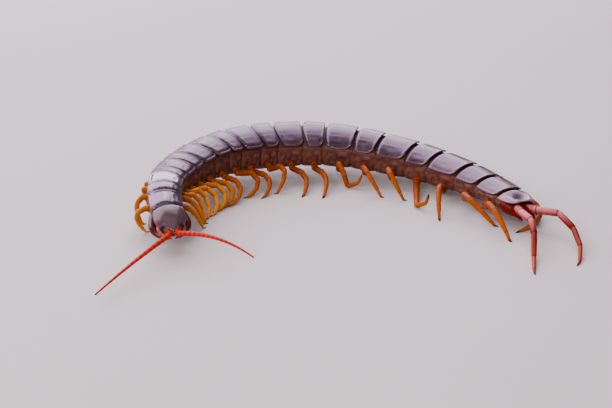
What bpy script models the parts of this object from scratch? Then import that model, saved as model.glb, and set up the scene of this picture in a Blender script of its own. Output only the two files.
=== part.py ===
"""Giant centipede at life size, standing on the floor with its long body bent into an arc.

Units are metres, +Z is up and the floor is the plane z = 0. The animal faces -Y and
its body runs back in +Y and then round to +X, so its left side is inside the bend.
Places along the body are counted in borders: 0 is the front of the head, 1 is where the
head meets the first plate, and plate n lies between border n and border n + 1.
"""

import math

import bmesh
import bpy
from mathutils import Matrix, Vector

MM = 0.001
GAP = 0.3 * MM
WORLD_UP = Vector((0, 0, 1))

# The body's line seen from above
HEAD_FRONT = Vector((-47.08 * MM, -30.46 * MM, 0))
SEGMENT_LENGTHS = [
    size * MM
    for size in (9.2, 6.5, 4.3, 7.7, 5.3, 7.9, 5.7, 7.8, 7.9, 6.0, 8.2)
    + (6.4, 8.6, 7.1, 9.7, 7.9, 10.9, 8.9, 11.8, 9.5, 11.2, 10.2)
]
LAST_PLATE = 21
TAIL_END = LAST_PLATE + 1
BACKWARD_HEADINGS = {0: 107, 2: 97, 4: 87, 6: 74, 8: 59, 10: 39, 12: 18, 14: -3, 16: -23, 18: -41, 20: -57, 22: -75}
STEPS_PER_SEGMENT = 10

# Sizes that change along the body, each given at a few borders
BACK_HEIGHTS = {0: 8.0, 1: 12.0, 3: 15.1, 6: 14.6, 9: 15.2, 12: 14.6, 14: 14.0, 16: 12.5, 18: 10.9, 20: 9.2, 22: 8.2}
BODY_WIDTHS = {1: 9.2, 2: 9.8, 4: 10.3, 7: 12.2, 10: 13.8, 15: 14.0, 18: 12.9, 20: 11.2, 21: 10.1, 22: 7.5}
BODY_DEPTHS = {1: 6.2, 4: 7.5, 8: 10.8, 12: 11.4, 15: 10.5, 18: 9.1, 20: 6.8, 22: 4.7}
BODY_ROLLS = {1: 0, 4: 7, 8: 6, 11: 14, 14: 16, 17: 10, 20: 3, 22: 2}
LEG_LENGTHS = {1: 12.5, 5: 15.6, 9: 16.2, 11: 17.4, 13: 20.2, 16: 21.2, 20: 23.8}

# The trunk: a core, plates above and below it, and the stubs that carry the legs
PLATES_PER_LENGTH = 3
CORE_WIDTH = 0.94
CORE_SIDES = 14
CORE_SQUARENESS = 3.0
CORE_TOP = 0.4 * MM
WAIST = 0.96
BACK_PLATE_WIDTH = 0.985
BACK_PLATE_DROPS = {1: 0.20, 6: 0.15, 12: 0.11, 17: 0.15}
BACK_PLATE_EDGE = 0.45 * MM
BACK_PLATE_ROOT = 1.3 * MM
BACK_PLATE_PROFILE = ((0.03, 0.90, 0.30), (0.16, 0.98, 0.05), (0.84, 1.0, 0.0), (0.975, 0.95, 0.0))
NOTCHED_PLATE_PROFILE = (
    (0.03, 0.84, 0.30), (0.15, 0.97, 0.05), (0.68, 1.0, 0.0), (0.88, 0.96, 0.0), (0.97, 0.82, 0.0),
)
TAIL_PLATE_PROFILE = (
    (0.03, 0.88, 0.30), (0.16, 0.99, 0.05), (0.58, 0.98, 0.0), (0.84, 0.84, 0.1), (0.97, 0.55, 0.3),
)
FIRST_NOTCHED_PLATE = 11
BELLY_PLATE_WIDTH = 0.56
BELLY_PLATE_RAISE = 0.25 * MM
BELLY_PLATE_ROOT = 0.9 * MM
BELLY_PLATE_EDGE = 0.5 * MM
COXA_PLACE = 0.55
COXA_RADIUS = 1.5 * MM
COXA_END_RADIUS = 1.02 * MM
COXA_INNER = (0.26, -0.66)
COXA_OUTER = (0.505, -0.74)
COXA_SWEEP = 0.12
COXA_SWEEP_MOST = 1.7 * MM
STUB_SIDES = 7

# Swollen flanks beside the tail plate, which end in a point: place along the body, shares of
# the width and of the depth, radius in mm
TAIL_FLANK = (
    (21.25, 0.30, -0.60, 1.2), (21.55, 0.36, -0.66, 1.6), (21.85, 0.34, -0.74, 1.15),
    (22.08, 0.29, -0.94, 0.4), (22.28, 0.25, -0.96, 0.22),
)

# Walking legs: lengths of the articles as shares of the leg, radii at their ends
LEG_SHARES = (0.06, 0.26, 0.22, 0.20, 0.16, 0.10)
LEG_BENDS = (0.35, 1.0, 0.9, 0.6, 0.4)
LEG_RADII = (0.95, 0.95, 0.86, 0.78, 0.66, 0.50, 0.34)
LEG_THICKNESS = {1: 0.88, 5: 0.93, 10: 1.0, 16: 1.08, 20: 1.2}
LEG_SIDES = 6
KNEE_ROUNDING = 0.14
CLAW_LENGTH = 1.1 * MM
CLAW_RADIUS = 0.12 * MM
CLAW_HEIGHT = 0.05 * MM
FOOT_HEIGHT = 0.13 * MM

# Places of the feet from the legs' roots, in mm, out from the body and back along it, then the
# lean of the knee towards the tail in degrees and its share outwards, from the first pair on
LEFT_FEET = (
    (6.2, 6.6, 30, 0), (6.2, 6.1, 40, 0), (6.0, 4.4, 45, 0), (6.1, 1.8, 45, 0), (6.5, -1.5, 50, 0),
    (6.3, -3.8, 50, 0), (6.2, -6.0, 54, 0), (8.8, -8.4, 70, 0.6), (8.7, -3.8, 75, 0.9), (13.0, -4.1, 80, 0.8),
    (12.2, -2.4, 45, 1.6), (17.4, 0.1, 75, 0.6), (19.0, 2.9, 65, 0.4), (8.8, 4.6, 20, 1.6), (13.2, 10.7, -30, 0),
    (11.2, 10.7, -30, 0), (15.0, 11.6, 0, 0), (15.3, 14.0, -10, 0), (4.7, 19.4, 35, 0.9), (5.8, 22.0, 50, 0.4),
)
RIGHT_FEET = (
    (0.3, 6.0, 30, 2), (1.4, 7.0, 45, 2), (0.2, 11.8, 80, 0.2), (-0.4, 12.4, 80, 0.2), (-0.8, 13.0, 80, 0.4),
    (0.4, 12.6, 70, 0.7), (2.6, 14.0, 70, 0.7), (5.0, 12.6, 60, 0.6), (9.0, 9.4, 40, 0.8), (11.5, 5.5, 20, 1),
    (12.5, 1.5, 0, 1), (12.8, -1.5, 0, 1), (12.6, -4.0, 60, 1.2), (12.0, -6.5, 90, 1.2), (11.2, -9.0, 90, 1.5),
    (9.6, -12.5, 90, 1.5), (8.0, -14.5, 90, 1.5), (6.6, -16.5, 90, 1.5), (5.4, -17.5, 90, 1.5), (-10.5, 17.2, 96, 1.0),
)
CURLED_LEGS = {("left", 14): 62, ("left", 17): 68}

# Last pair of legs, laid along the floor: article lengths, radii and heights in mm
LAST_LEG_LENGTHS = (0.8, 6.6, 8.4, 9.0, 7.6, 3.0)
LAST_LEG_RADII = (1.10, 1.14, 1.02, 0.90, 0.72, 0.46, 0.12)
LAST_LEG_HEIGHTS = {"left": (5.8, 5.8, 5.6, 4.6, 1.0, 0.36, 0.10), "right": (5.8, 5.8, 5.6, 3.8, 1.8, 0.36, 0.10)}
LAST_LEG_HEADINGS = {"left": (-80, -69, -90, -96, -96, -91), "right": (-40, -18, -67, -85, -99, -112)}
LAST_STUB_SIDEWAYS = 0.27
LAST_STUB_DEPTH = 0.78

# Head, measured forwards from border 1, sideways, and up from the line of the back
HEAD_SIDES = 14
HEAD_ROLL = -4
HEAD_PLATE = (
    (0.2, 4.05, 0.00, 1.35), (1.2, 4.45, 0.22, 1.60), (3.4, 4.65, 0.40, 1.95), (5.6, 4.30, 0.22, 1.85),
    (7.3, 3.45, -0.30, 1.45), (8.5, 2.45, -0.85, 1.00), (9.2, 1.55, -1.30, 0.60),
)
HEAD_PLATE_EDGE = 0.45 * MM
HEAD_PLATE_ROOT = 1.1 * MM
HEAD_CORE = (
    (0.5, 3.4, -0.7, -3.5), (3.0, 3.95, -0.6, -3.75), (5.8, 3.6, -0.7, -3.6), (7.6, 2.8, -1.1, -3.2),
    (8.6, 1.9, -1.5, -2.8),
)
SOCKET_SIDEWAYS = 1.2 * MM
SOCKET_RISE = -1.85 * MM
SOCKET_RADII = (0.95 * MM, 0.85 * MM)
SOCKET_REACH = (7.4 * MM, 9.3 * MM)
EYE_PLACE = (7.25, 3.0, -1.45)
EYE_FACING = (0.42, 0.78, 0.46)
EYE_CUP_RADIUS = 1.05 * MM
EYE_CUP_DEPTH = 0.75 * MM
EYE_BED_RADIUS = 0.72 * MM
EYE_BED_DEPTH = 0.30 * MM
OCELLUS_RADIUS = 0.24 * MM
OCELLUS_SPREAD = 0.34 * MM
OCELLI = 4

# Feelers: the tips from their roots, in mm, and how far the middle bows
FEELER_ARTICLES = 17
FEELER_ROOT_RADIUS = 0.82 * MM
FEELER_TIP_RADIUS = 0.24 * MM
FEELER_SIDES = 6
FEELER_TIPS = {"left": (21.4, -19.4, 0.2), "right": (-16.0, -34.8, -3.8)}
FEELER_BOWS = {"left": (0.4, -0.8, 2.3), "right": (-0.2, 0.1, 0.2)}

# Mouth side of the head: the plate that carries the venom claws, the claws and the jaws
CLAW_PLATE = (
    (-3.0, 4.0, -4.25, -5.6), (0.6, 4.0, -4.15, -5.75), (3.0, 3.0, -4.15, -5.65), (4.5, 1.7, -4.15, -5.35),
)
VENOM_STUB = ((1.2, 2.6, -4.95), (1.95, 4.15, -4.95))
VENOM_STUB_RADII = (1.25 * MM, 1.15 * MM)
VENOM_CLAW = (
    (2.15, 4.45, -4.95, 1.15), (3.3, 4.75, -4.92, 1.36), (4.7, 4.65, -4.9, 1.24), (5.9, 4.1, -5.0, 1.02),
    (6.9, 3.25, -5.1, 0.82), (7.6, 2.3, -5.3, 0.56), (7.95, 1.5, -5.45, 0.34), (8.05, 0.85, -5.5, 0.12),
)
VENOM_SIDES = 8
JAWS = (
    (4.95, 1.75, -4.1, -4.95), (6.3, 1.85, -4.05, -4.9), (7.7, 1.5, -3.7, -4.55), (8.8, 0.95, -3.25, -4.0),
    (9.3, 0.45, -3.3, -3.75),
)

# Colours, roughness; nothing on the animal is metal
TRUNK_FINISH = ((0.060, 0.032, 0.034), 0.30)
HEAD_FINISH = ((0.070, 0.038, 0.046), 0.28)
LEG_FINISH = ((0.420, 0.110, 0.016), 0.36)
LAST_LEG_FINISH = ((0.400, 0.050, 0.012), 0.32)
FEELER_FINISH = ((0.560, 0.030, 0.010), 0.34)
VENOM_FINISH = ((0.110, 0.006, 0.004), 0.22)
EYE_FINISH = ((0.006, 0.005, 0.006), 0.12)
JAW_FINISH = ((0.300, 0.070, 0.020), 0.40)
SMOOTH_ANGLE = math.radians(40)


def along(sizes, place):
    """Smooth value at a place of a size that is given at a few borders."""
    keys = sorted(sizes)
    place = min(max(place, keys[0]), keys[-1])
    index = max(k for k in range(len(keys) - 1) if keys[k] <= place)
    first, last = keys[index], keys[index + 1]
    slopes = []
    for key in (index, index + 1):
        before, after = keys[max(key - 1, 0)], keys[min(key + 1, len(keys) - 1)]
        slopes.append((sizes[after] - sizes[before]) / (after - before))
    width = last - first
    t = (place - first) / width
    rise = t * t * (3 - 2 * t)
    bend = width * (t * (1 - t) ** 2 * slopes[0] - t * t * (1 - t) * slopes[1])
    return sizes[first] * (1 - rise) + sizes[last] * rise + bend


def width_at(place):
    """Full width of the body."""
    return along(BODY_WIDTHS, place) * MM


def depth_at(place):
    """Height of the body from the line of the back to the belly."""
    return along(BODY_DEPTHS, place) * MM


def body_line():
    """Points of the line of the back, in even steps from the front of the head to the tail."""
    point = HEAD_FRONT.copy()
    line = []
    for step in range(TAIL_END * STEPS_PER_SEGMENT + 1):
        place = step / STEPS_PER_SEGMENT
        line.append(Vector((point.x, point.y, along(BACK_HEIGHTS, place) * MM)))
        if step < TAIL_END * STEPS_PER_SEGMENT:
            middle = place + 0.5 / STEPS_PER_SEGMENT
            heading = math.radians(along(BACKWARD_HEADINGS, middle))
            run = SEGMENT_LENGTHS[int(middle)] / STEPS_PER_SEGMENT
            point += run * Vector((math.cos(heading), math.sin(heading), 0))
    return line


BODY_LINE = body_line()


def back_point(place):
    """A point on the line of the back, which runs on straight beyond its end."""
    step = max(place * STEPS_PER_SEGMENT, 0)
    index = min(int(step), len(BODY_LINE) - 2)
    return BODY_LINE[index].lerp(BODY_LINE[index + 1], step - index)


def body_frame(place):
    """Matrix at a place along the body: columns forwards, left and up, from the line of the back."""
    reach = 0.25
    forward = (back_point(place - reach) - back_point(place + reach)).normalized()
    left = WORLD_UP.cross(forward).normalized()
    left = Matrix.Rotation(-math.radians(along(BODY_ROLLS, place)), 3, forward) @ left
    return frame_of(back_point(place), forward, left)


def head_frame():
    """Matrix of the head: columns forwards, left and up, from the middle of border 1."""
    forward = (back_point(0) - back_point(1)).normalized()
    left = WORLD_UP.cross(forward).normalized()
    left = Matrix.Rotation(-math.radians(HEAD_ROLL), 3, forward) @ left
    return frame_of(back_point(1), forward, left)


def frame_of(origin, forward, left):
    """Matrix from an origin and two unit directions at right angles."""
    up = forward.cross(left)
    return Matrix.Translation(origin) @ Matrix((forward, left, up)).transposed().to_4x4()


def in_mm(frame, forward, sideways, rise):
    """A world point from a place in a frame, in millimetres."""
    return frame @ Vector((forward * MM, sideways * MM, rise * MM))


def finish(name, look):
    """Material of one node."""
    colour, roughness = look
    material = bpy.data.materials.new(name)
    material.use_nodes = True
    shader = material.node_tree.nodes["Principled BSDF"]
    shader.inputs["Base Color"].default_value = (*colour, 1)
    shader.inputs["Roughness"].default_value = roughness
    shader.inputs["Metallic"].default_value = 0
    material.diffuse_color = (*colour, 1)
    return material


def closed_object(name, mesh):
    """Object made from a bmesh, with its faces turned outwards."""
    bmesh.ops.recalc_face_normals(mesh, faces=mesh.faces[:])
    data = bpy.data.meshes.new(name)
    mesh.to_mesh(data)
    mesh.free()
    item = bpy.data.objects.new(name, data)
    bpy.context.scene.collection.objects.link(item)
    return item


def loft(name, rings):
    """Closed body through rings of equally many points, with a cap at each end."""
    mesh = bmesh.new()
    loops = [[mesh.verts.new(point) for point in ring] for ring in rings]
    count = len(loops[0])
    for first, second in zip(loops, loops[1:]):
        for k in range(count):
            following = (k + 1) % count
            mesh.faces.new((first[k], first[following], second[following], second[k]))
    mesh.faces.new(loops[0][::-1])
    mesh.faces.new(loops[-1])
    return closed_object(name, mesh)


def round_ring(centre, axis, side, radius, count):
    """Points of a circle round an axis, starting at its side direction."""
    side = (side - axis * side.dot(axis)).normalized()
    other = axis.cross(side)
    turns = [2 * math.pi * (k + 0.5) / count for k in range(count)]
    return [centre + radius * (side * math.cos(a) + other * math.sin(a)) for a in turns]


def tube_rings(points, radii, count, first_axis=None):
    """Rings of a tube along points, each on the plane that halves the bend there."""
    rings = []
    side = WORLD_UP.copy()
    for k, (point, radius) in enumerate(zip(points, radii)):
        before = (point - points[k - 1]).normalized() if k else None
        after = (points[k + 1] - point).normalized() if k + 1 < len(points) else before
        axis = (after + (before or after)).normalized()
        if not k and first_axis:
            axis = first_axis
        rings.append(round_ring(point, axis, side, radius, count))
    return rings


def on_floor(rings):
    """Rings with all that would pass the floor pressed flat on it."""
    return [[Vector((p.x, p.y, max(p.z, 0))) for p in ring] for ring in rings]


def fuse(name, pieces, cutters=()):
    """Joins closed meshes into the first of them, then cuts it, and keeps the largest surface."""
    base = pieces[0]
    base.name = name
    for operation, tools in (("UNION", pieces[1:]), ("DIFFERENCE", cutters)):
        if not tools:
            continue
        helpers = bpy.data.collections.new(name + "_" + operation.lower())
        for tool in tools:
            helpers.objects.link(tool)
        modifier = base.modifiers.new(operation.lower(), "BOOLEAN")
        modifier.operation = operation
        modifier.operand_type = "COLLECTION"
        modifier.collection = helpers
        graph = bpy.context.evaluated_depsgraph_get()
        joined = bpy.data.meshes.new_from_object(base.evaluated_get(graph))
        base.modifiers.clear()
        base.data = joined
        for tool in list(tools):
            bpy.data.objects.remove(tool)
        bpy.data.collections.remove(helpers)
    keep_largest(base)
    return base


def keep_largest(item):
    """Leaves only the connected surface that has the most faces."""
    mesh = bmesh.new()
    mesh.from_mesh(item.data)
    unseen = set(mesh.verts)
    groups = []
    while unseen:
        group = set()
        edge = [unseen.pop()]
        while edge:
            vert = edge.pop()
            group.add(vert)
            for link in vert.link_edges:
                other = link.other_vert(vert)
                if other in unseen:
                    unseen.remove(other)
                    edge.append(other)
        groups.append(group)
    groups.sort(key=len)
    bmesh.ops.delete(mesh, geom=[vert for group in groups[:-1] for vert in group], context="VERTS")
    mesh.to_mesh(item.data)
    mesh.free()


def dress(item, look):
    """Gives a finished node its material and smooth shading."""
    item.data.materials.clear()
    item.data.materials.append(finish(item.name, look))
    item.data.shade_smooth()
    item.data.set_sharp_from_angle(angle=SMOOTH_ANGLE)
    return item


def core_ring(place, waist):
    """Section of the trunk's core: a squared oval under the back plates."""
    frame = body_frame(place)
    half_width = width_at(place) / 2 * CORE_WIDTH * waist
    half_depth = (depth_at(place) - CORE_TOP) / 2 * waist
    middle = -(depth_at(place) + CORE_TOP) / 2
    return squared_ring(frame, 0, half_width, middle, half_depth, CORE_SIDES, CORE_SQUARENESS)


def squared_ring(frame, forward, half_width, middle, half_depth, count, squareness):
    """Squared oval in the plane across a frame's forward direction."""
    power = 2 / squareness
    ring = []
    for k in range(count):
        turn = 2 * math.pi * (k + 0.5) / count
        across, rise = math.cos(turn), math.sin(turn)
        ring.append(
            frame
            @ Vector(
                (
                    forward,
                    half_width * math.copysign(abs(across) ** power, across),
                    middle + half_depth * math.copysign(abs(rise) ** power, rise),
                )
            )
        )
    return ring


def trunk_core(name, first, last):
    """Core of one length of trunk, set back from its neighbours by half the gap."""
    rings = []
    front_share = 0.5 * GAP / SEGMENT_LENGTHS[first]
    rear_share = 0.5 * GAP / SEGMENT_LENGTHS[last - 1]
    for segment in range(first, last):
        start = segment + (front_share if segment == first else 0)
        rings.append(core_ring(start, WAIST))
        rings.append(core_ring(segment + 0.5, 1))
    rings.append(core_ring(last - rear_share, WAIST if last < TAIL_END else 0.9))
    return loft(name, rings)


def back_plate_ring(place, width_share, sink):
    """Section of a back plate: a low dome with an edge, closed inside the core."""
    frame = body_frame(place)
    half = width_at(place) / 2 * BACK_PLATE_WIDTH * width_share
    drop = along(BACK_PLATE_DROPS, place) * width_at(place)
    top = -sink * MM

    def spot(share, extra):
        rise = top - drop * abs(share) ** 2.3 - extra
        return frame @ Vector((0, half * share, rise))

    dome = [spot(share, 0) for share in (1.0, 0.8, 0.4, -0.4, -0.8, -1.0)]
    lower = ((-1.0, BACK_PLATE_EDGE), (-0.62, BACK_PLATE_ROOT), (0.62, BACK_PLATE_ROOT), (1.0, BACK_PLATE_EDGE))
    inner = [spot(share, extra) for share, extra in lower]
    return dome + inner


def back_plate(plate):
    """One back plate, raised on the core."""
    profile = NOTCHED_PLATE_PROFILE if plate >= FIRST_NOTCHED_PLATE else BACK_PLATE_PROFILE
    if plate == LAST_PLATE:
        profile = TAIL_PLATE_PROFILE
    return loft("back_plate", [back_plate_ring(plate + place, share, sink) for place, share, sink in profile])


def belly_plate(plate):
    """One belly plate, raised under the core."""
    rings = []
    for place in (plate + 0.08, plate + 0.92):
        frame = body_frame(place)
        half = width_at(place) / 2 * BELLY_PLATE_WIDTH
        low = -depth_at(place) - BELLY_PLATE_RAISE
        high = -depth_at(place) + BELLY_PLATE_ROOT
        edge = low + BELLY_PLATE_EDGE
        outline = ((0.7, high), (1.0, edge), (0.8, low), (-0.8, low), (-1.0, edge), (-0.7, high))
        rings.append([frame @ Vector((0, half * across, rise)) for across, rise in outline])
    return loft("belly_plate", rings)


def body_spot(place, side, shares):
    """A point in the body's section, from its shares of the width and of the depth."""
    across, rise = shares
    return body_frame(place) @ Vector((0, side * width_at(place) * across, depth_at(place) * rise))


def foot_place(pair, side):
    """How far a foot is out and back, and the lean of its knee tailwards and outwards."""
    return (LEFT_FEET if side > 0 else RIGHT_FEET)[pair - 1]


def coxa_line(pair, side):
    """Inner and outer end of the stub that carries a leg, turned towards the foot."""
    place = pair + COXA_PLACE
    back = foot_place(pair, side)[1]
    sweep = max(-COXA_SWEEP_MOST, min(COXA_SWEEP * back * MM, COXA_SWEEP_MOST))
    outer = body_spot(place, side, COXA_OUTER) - sweep * body_frame(place).col[0].xyz
    return body_spot(place, side, COXA_INNER), outer


def leg_scale(pair):
    """Thickness of a pair of legs, against those in the middle of the body."""
    return along(LEG_THICKNESS, pair)


def stub(points, radii, count):
    """Short tapered rod, such as a coxa."""
    return loft("stub", tube_rings(points, radii, count))


def coxa(pair, side):
    """Stub of a walking leg."""
    scale = leg_scale(pair)
    return stub(coxa_line(pair, side), (COXA_RADIUS * scale, COXA_END_RADIUS * scale), STUB_SIDES)


def last_leg_start(side):
    """Inner and outer end of the stub of a last leg, behind the tail plate."""
    frame = body_frame(TAIL_END)
    across = side * width_at(TAIL_END) * LAST_STUB_SIDEWAYS
    rise = -depth_at(TAIL_END) * LAST_STUB_DEPTH
    hand = "left" if side > 0 else "right"
    heading = math.radians(LAST_LEG_HEADINGS[hand][0])
    outwards = Vector((math.cos(heading), math.sin(heading), 0))
    outer = frame @ Vector((-0.5 * MM, across, rise))
    outer.z = LAST_LEG_HEIGHTS[hand][0] * MM
    return [outer - 2.4 * MM * outwards, outer]


def trunk_length(index):
    """One length of trunk: core, back plates, belly plates and leg stubs in one body."""
    first = 1 + index * PLATES_PER_LENGTH
    last = first + PLATES_PER_LENGTH
    pieces = [trunk_core("core", first, last)]
    for plate in range(first, last):
        pieces.append(back_plate(plate))
        pieces.append(belly_plate(plate))
        for side in (1, -1):
            if plate < LAST_PLATE:
                pieces.append(coxa(plate, side))
            else:
                radii = (1.3 * MM, LAST_LEG_RADII[0] * MM)
                pieces.append(stub(last_leg_start(side), radii, STUB_SIDES))
                pieces.append(tail_flank(side))
    if first == 1:
        pieces.extend(venom_base())
    return dress(fuse(f"trunk_{index + 1}", pieces), TRUNK_FINISH)


def tail_flank(side):
    """Swollen flank beside the tail plate, ending in a point."""
    points = [body_spot(place, side, (across, rise)) for place, across, rise, _ in TAIL_FLANK]
    return stub(points, [radius * MM for *_, radius in TAIL_FLANK], STUB_SIDES)


def venom_base():
    """Plate under the head with the two stubs that carry the venom claws."""
    frame = head_frame()
    rings = []
    for forward, half, top, low in CLAW_PLATE:
        middle = (top + low) / 2
        outline = ((0.8, top), (1, middle), (0.75, low), (-0.75, low), (-1, middle), (-0.8, top))
        rings.append([in_mm(frame, forward, half * across, rise) for across, rise in outline])
    pieces = [loft("claw_plate", rings)]
    for side in (1, -1):
        ends = [in_mm(frame, forward, side * across, rise) for forward, across, rise in VENOM_STUB]
        pieces.append(stub(ends, VENOM_STUB_RADII, STUB_SIDES))
    return pieces


def chain(root, foot, lengths, bends, knee_way):
    """Ends of linked rods from root to foot, bent alike at each joint, bulging the knee way."""
    reach = (foot - root).length

    def spread(scale):
        across = rise = turn = 0
        ends = [(0, 0)]
        for length, bend in zip(lengths, bends):
            turn -= scale * bend
            across += length * math.cos(turn)
            rise += length * math.sin(turn)
            ends.append((across, rise))
        return ends

    low, high = 0, 1.4
    for _ in range(40):
        scale = (low + high) / 2
        low, high = (scale, high) if math.hypot(*spread(scale)[-1]) > reach else (low, scale)
    ends = spread(scale)
    chord = (foot - root).normalized()
    bulge = (knee_way - chord * knee_way.dot(chord)).normalized()
    turn = -math.atan2(ends[-1][1], ends[-1][0])
    places = []
    for across, rise in ends:
        forward = across * math.cos(turn) - rise * math.sin(turn)
        outward = across * math.sin(turn) + rise * math.cos(turn)
        places.append(root + chord * forward + bulge * outward)
    return places


def leg_line(pair, side):
    """Joints of a walking leg, from its face on the stub to the tip of the claw."""
    hand = "left" if side > 0 else "right"
    inner, outer = coxa_line(pair, side)
    axis = (outer - inner).normalized()
    root = outer + GAP * axis
    length = along(LEG_LENGTHS, pair) * MM
    spans = [share * length for share in LEG_SHARES]
    start = root + spans[0] * axis
    frame = body_frame(pair + COXA_PLACE)
    forward, left = frame.col[0].xyz, frame.col[1].xyz
    ahead = Vector((forward.x, forward.y, 0)).normalized()
    sideways = side * Vector((left.x, left.y, 0)).normalized()
    out, back, lean, splay = foot_place(pair, side)
    foot = body_spot(pair + COXA_PLACE, side, COXA_OUTER) + MM * (out * sideways - back * ahead)
    foot.z = FOOT_HEIGHT
    lean = math.radians(lean)
    knee_way = math.cos(lean) * WORLD_UP - math.sin(lean) * ahead
    knee_way += splay * sideways
    curl = CURLED_LEGS.get((hand, pair))
    if curl:
        foot.z = 0.8 * LEG_RADII[4] * MM * leg_scale(pair)
        joints = chain(start, foot, spans[1:4], LEG_BENDS[:3], knee_way)
        turn = Vector((0, 0, 0))
        for span, rise in ((spans[4], 0.35 * curl), (spans[5], curl), (CLAW_LENGTH, curl + 12)):
            turn = math.cos(math.radians(rise)) * -ahead + math.sin(math.radians(rise)) * WORLD_UP
            joints.append(joints[-1] + span * turn)
        return root, axis, joints
    joints = chain(start, foot, spans[1:], LEG_BENDS, knee_way)
    onward = joints[-1] - joints[-2]
    claw_way = Vector((onward.x, onward.y, 0)).normalized()
    tip = joints[-1] + CLAW_LENGTH * claw_way
    tip.z = CLAW_HEIGHT
    return root, axis, joints + [tip]


def rounded_line(joints, radii):
    """Points and radii of a leg, with two points beside each joint where it bends."""
    points, sizes = [joints[0]], [radii[0]]
    for k in range(1, len(joints) - 1):
        before, here, after = joints[k - 1], joints[k], joints[k + 1]
        bend = (here - before).angle(after - here)
        if bend > math.radians(18):
            points.append(here.lerp(before, KNEE_ROUNDING))
            points.append(here.lerp(after, KNEE_ROUNDING))
            sizes.extend((radii[k], radii[k]))
        else:
            points.append(here)
            sizes.append(radii[k])
    return points + [joints[-1]], sizes + [radii[-1]]


def walking_leg(pair, side):
    """One walking leg down to its foot on the floor."""
    root, axis, joints = leg_line(pair, side)
    scale = leg_scale(pair)
    radii = [size * MM * scale for size in LEG_RADII[1:]] + [CLAW_RADIUS]
    points, sizes = rounded_line(joints, radii)
    rings = tube_rings([root] + points, [LEG_RADII[0] * MM * scale] + sizes, LEG_SIDES, axis)
    name = f"leg_{'left' if side > 0 else 'right'}_{pair:02d}"
    return dress(loft(name, on_floor(rings)), LEG_FINISH)


def last_leg(side):
    """One leg of the last pair, trailing along the floor behind the tail."""
    hand = "left" if side > 0 else "right"
    inner, outer = last_leg_start(side)
    axis = (outer - inner).normalized()
    point = outer + GAP * axis
    joints = [point]
    for length, heading, height in zip(LAST_LEG_LENGTHS, LAST_LEG_HEADINGS[hand], LAST_LEG_HEIGHTS[hand][1:]):
        turn = math.radians(heading)
        point = point + length * MM * Vector((math.cos(turn), math.sin(turn), 0))
        point.z = height * MM
        joints.append(point)
    radii = [size * MM for size in LAST_LEG_RADII]
    points, sizes = rounded_line(joints, radii)
    rings = tube_rings(points, sizes, LEG_SIDES + 1, axis)
    return dress(loft(f"leg_{hand}_{LAST_PLATE}", on_floor(rings)), LAST_LEG_FINISH)


def head():
    """Head: core under a domed plate, antenna sockets, and cups for the eyes."""
    frame = head_frame()
    core = []
    for forward, half, top, low in HEAD_CORE:
        middle, half_depth = (top + low) / 2 * MM, (top - low) / 2 * MM
        core.append(squared_ring(frame, forward * MM, half * MM, middle, half_depth, HEAD_SIDES, 2.4))
    core[0] = [point + GAP * (frame.col[0].xyz) for point in core[0]]
    rings = []
    for forward, half, top, drop in HEAD_PLATE:
        ring = []
        for share in (1.0, 0.85, 0.6, 0.2, -0.2, -0.6, -0.85, -1.0):
            ring.append(in_mm(frame, forward, half * share, top - drop * abs(share) ** 2.2))
        lower = ((-1.0, HEAD_PLATE_EDGE), (-0.6, HEAD_PLATE_ROOT), (0.6, HEAD_PLATE_ROOT), (1.0, HEAD_PLATE_EDGE))
        for share, extra in lower:
            ring.append(in_mm(frame, forward, half * share, top - drop * abs(share) ** 2.2 - extra / MM))
        rings.append(ring)
    rings[0] = [point + GAP * frame.col[0].xyz for point in rings[0]]
    pieces = [loft("head_core", core), loft("head_plate", rings)]
    for side in (1, -1):
        ends = [frame @ Vector((reach, side * SOCKET_SIDEWAYS, SOCKET_RISE)) for reach in SOCKET_REACH]
        pieces.append(stub(ends, SOCKET_RADII, STUB_SIDES))
    cutters = []
    for side in (1, -1):
        place, facing = eye_line(side)
        ends = [place - EYE_CUP_DEPTH * facing, place + 2 * MM * facing]
        cutters.append(stub(ends, (EYE_CUP_RADIUS, EYE_CUP_RADIUS), 10))
    return dress(fuse("head", pieces, cutters), HEAD_FINISH)


def eye_line(side):
    """Middle of a group of eyes on the head's surface, and the way it faces."""
    frame = head_frame()
    forward, across, rise = EYE_PLACE
    facing = Vector((EYE_FACING[0], side * EYE_FACING[1], EYE_FACING[2])).normalized()
    return in_mm(frame, forward, side * across, rise), (frame.to_3x3() @ facing).normalized()


def eye_group(side):
    """Four small eyes on a bed that sits in its cup."""
    place, facing = eye_line(side)
    low = place - (EYE_CUP_DEPTH - GAP) * facing
    high = low + EYE_BED_DEPTH * facing
    pieces = [stub([low, high], (EYE_BED_RADIUS, EYE_BED_RADIUS), 10)]
    around = head_frame().col[0].xyz.cross(facing).normalized()
    other = facing.cross(around)
    for k in range(OCELLI):
        turn = math.pi * (0.5 + k) / 2
        centre = high + OCELLUS_SPREAD * (around * math.cos(turn) + other * math.sin(turn))
        ends = [centre - 0.12 * MM * facing, centre + 0.10 * MM * facing, centre + 0.24 * MM * facing]
        pieces.append(stub(ends, (OCELLUS_RADIUS, OCELLUS_RADIUS, 0.4 * OCELLUS_RADIUS), 6))
    return dress(fuse(f"eyes_{'left' if side > 0 else 'right'}", pieces), EYE_FINISH)


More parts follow.
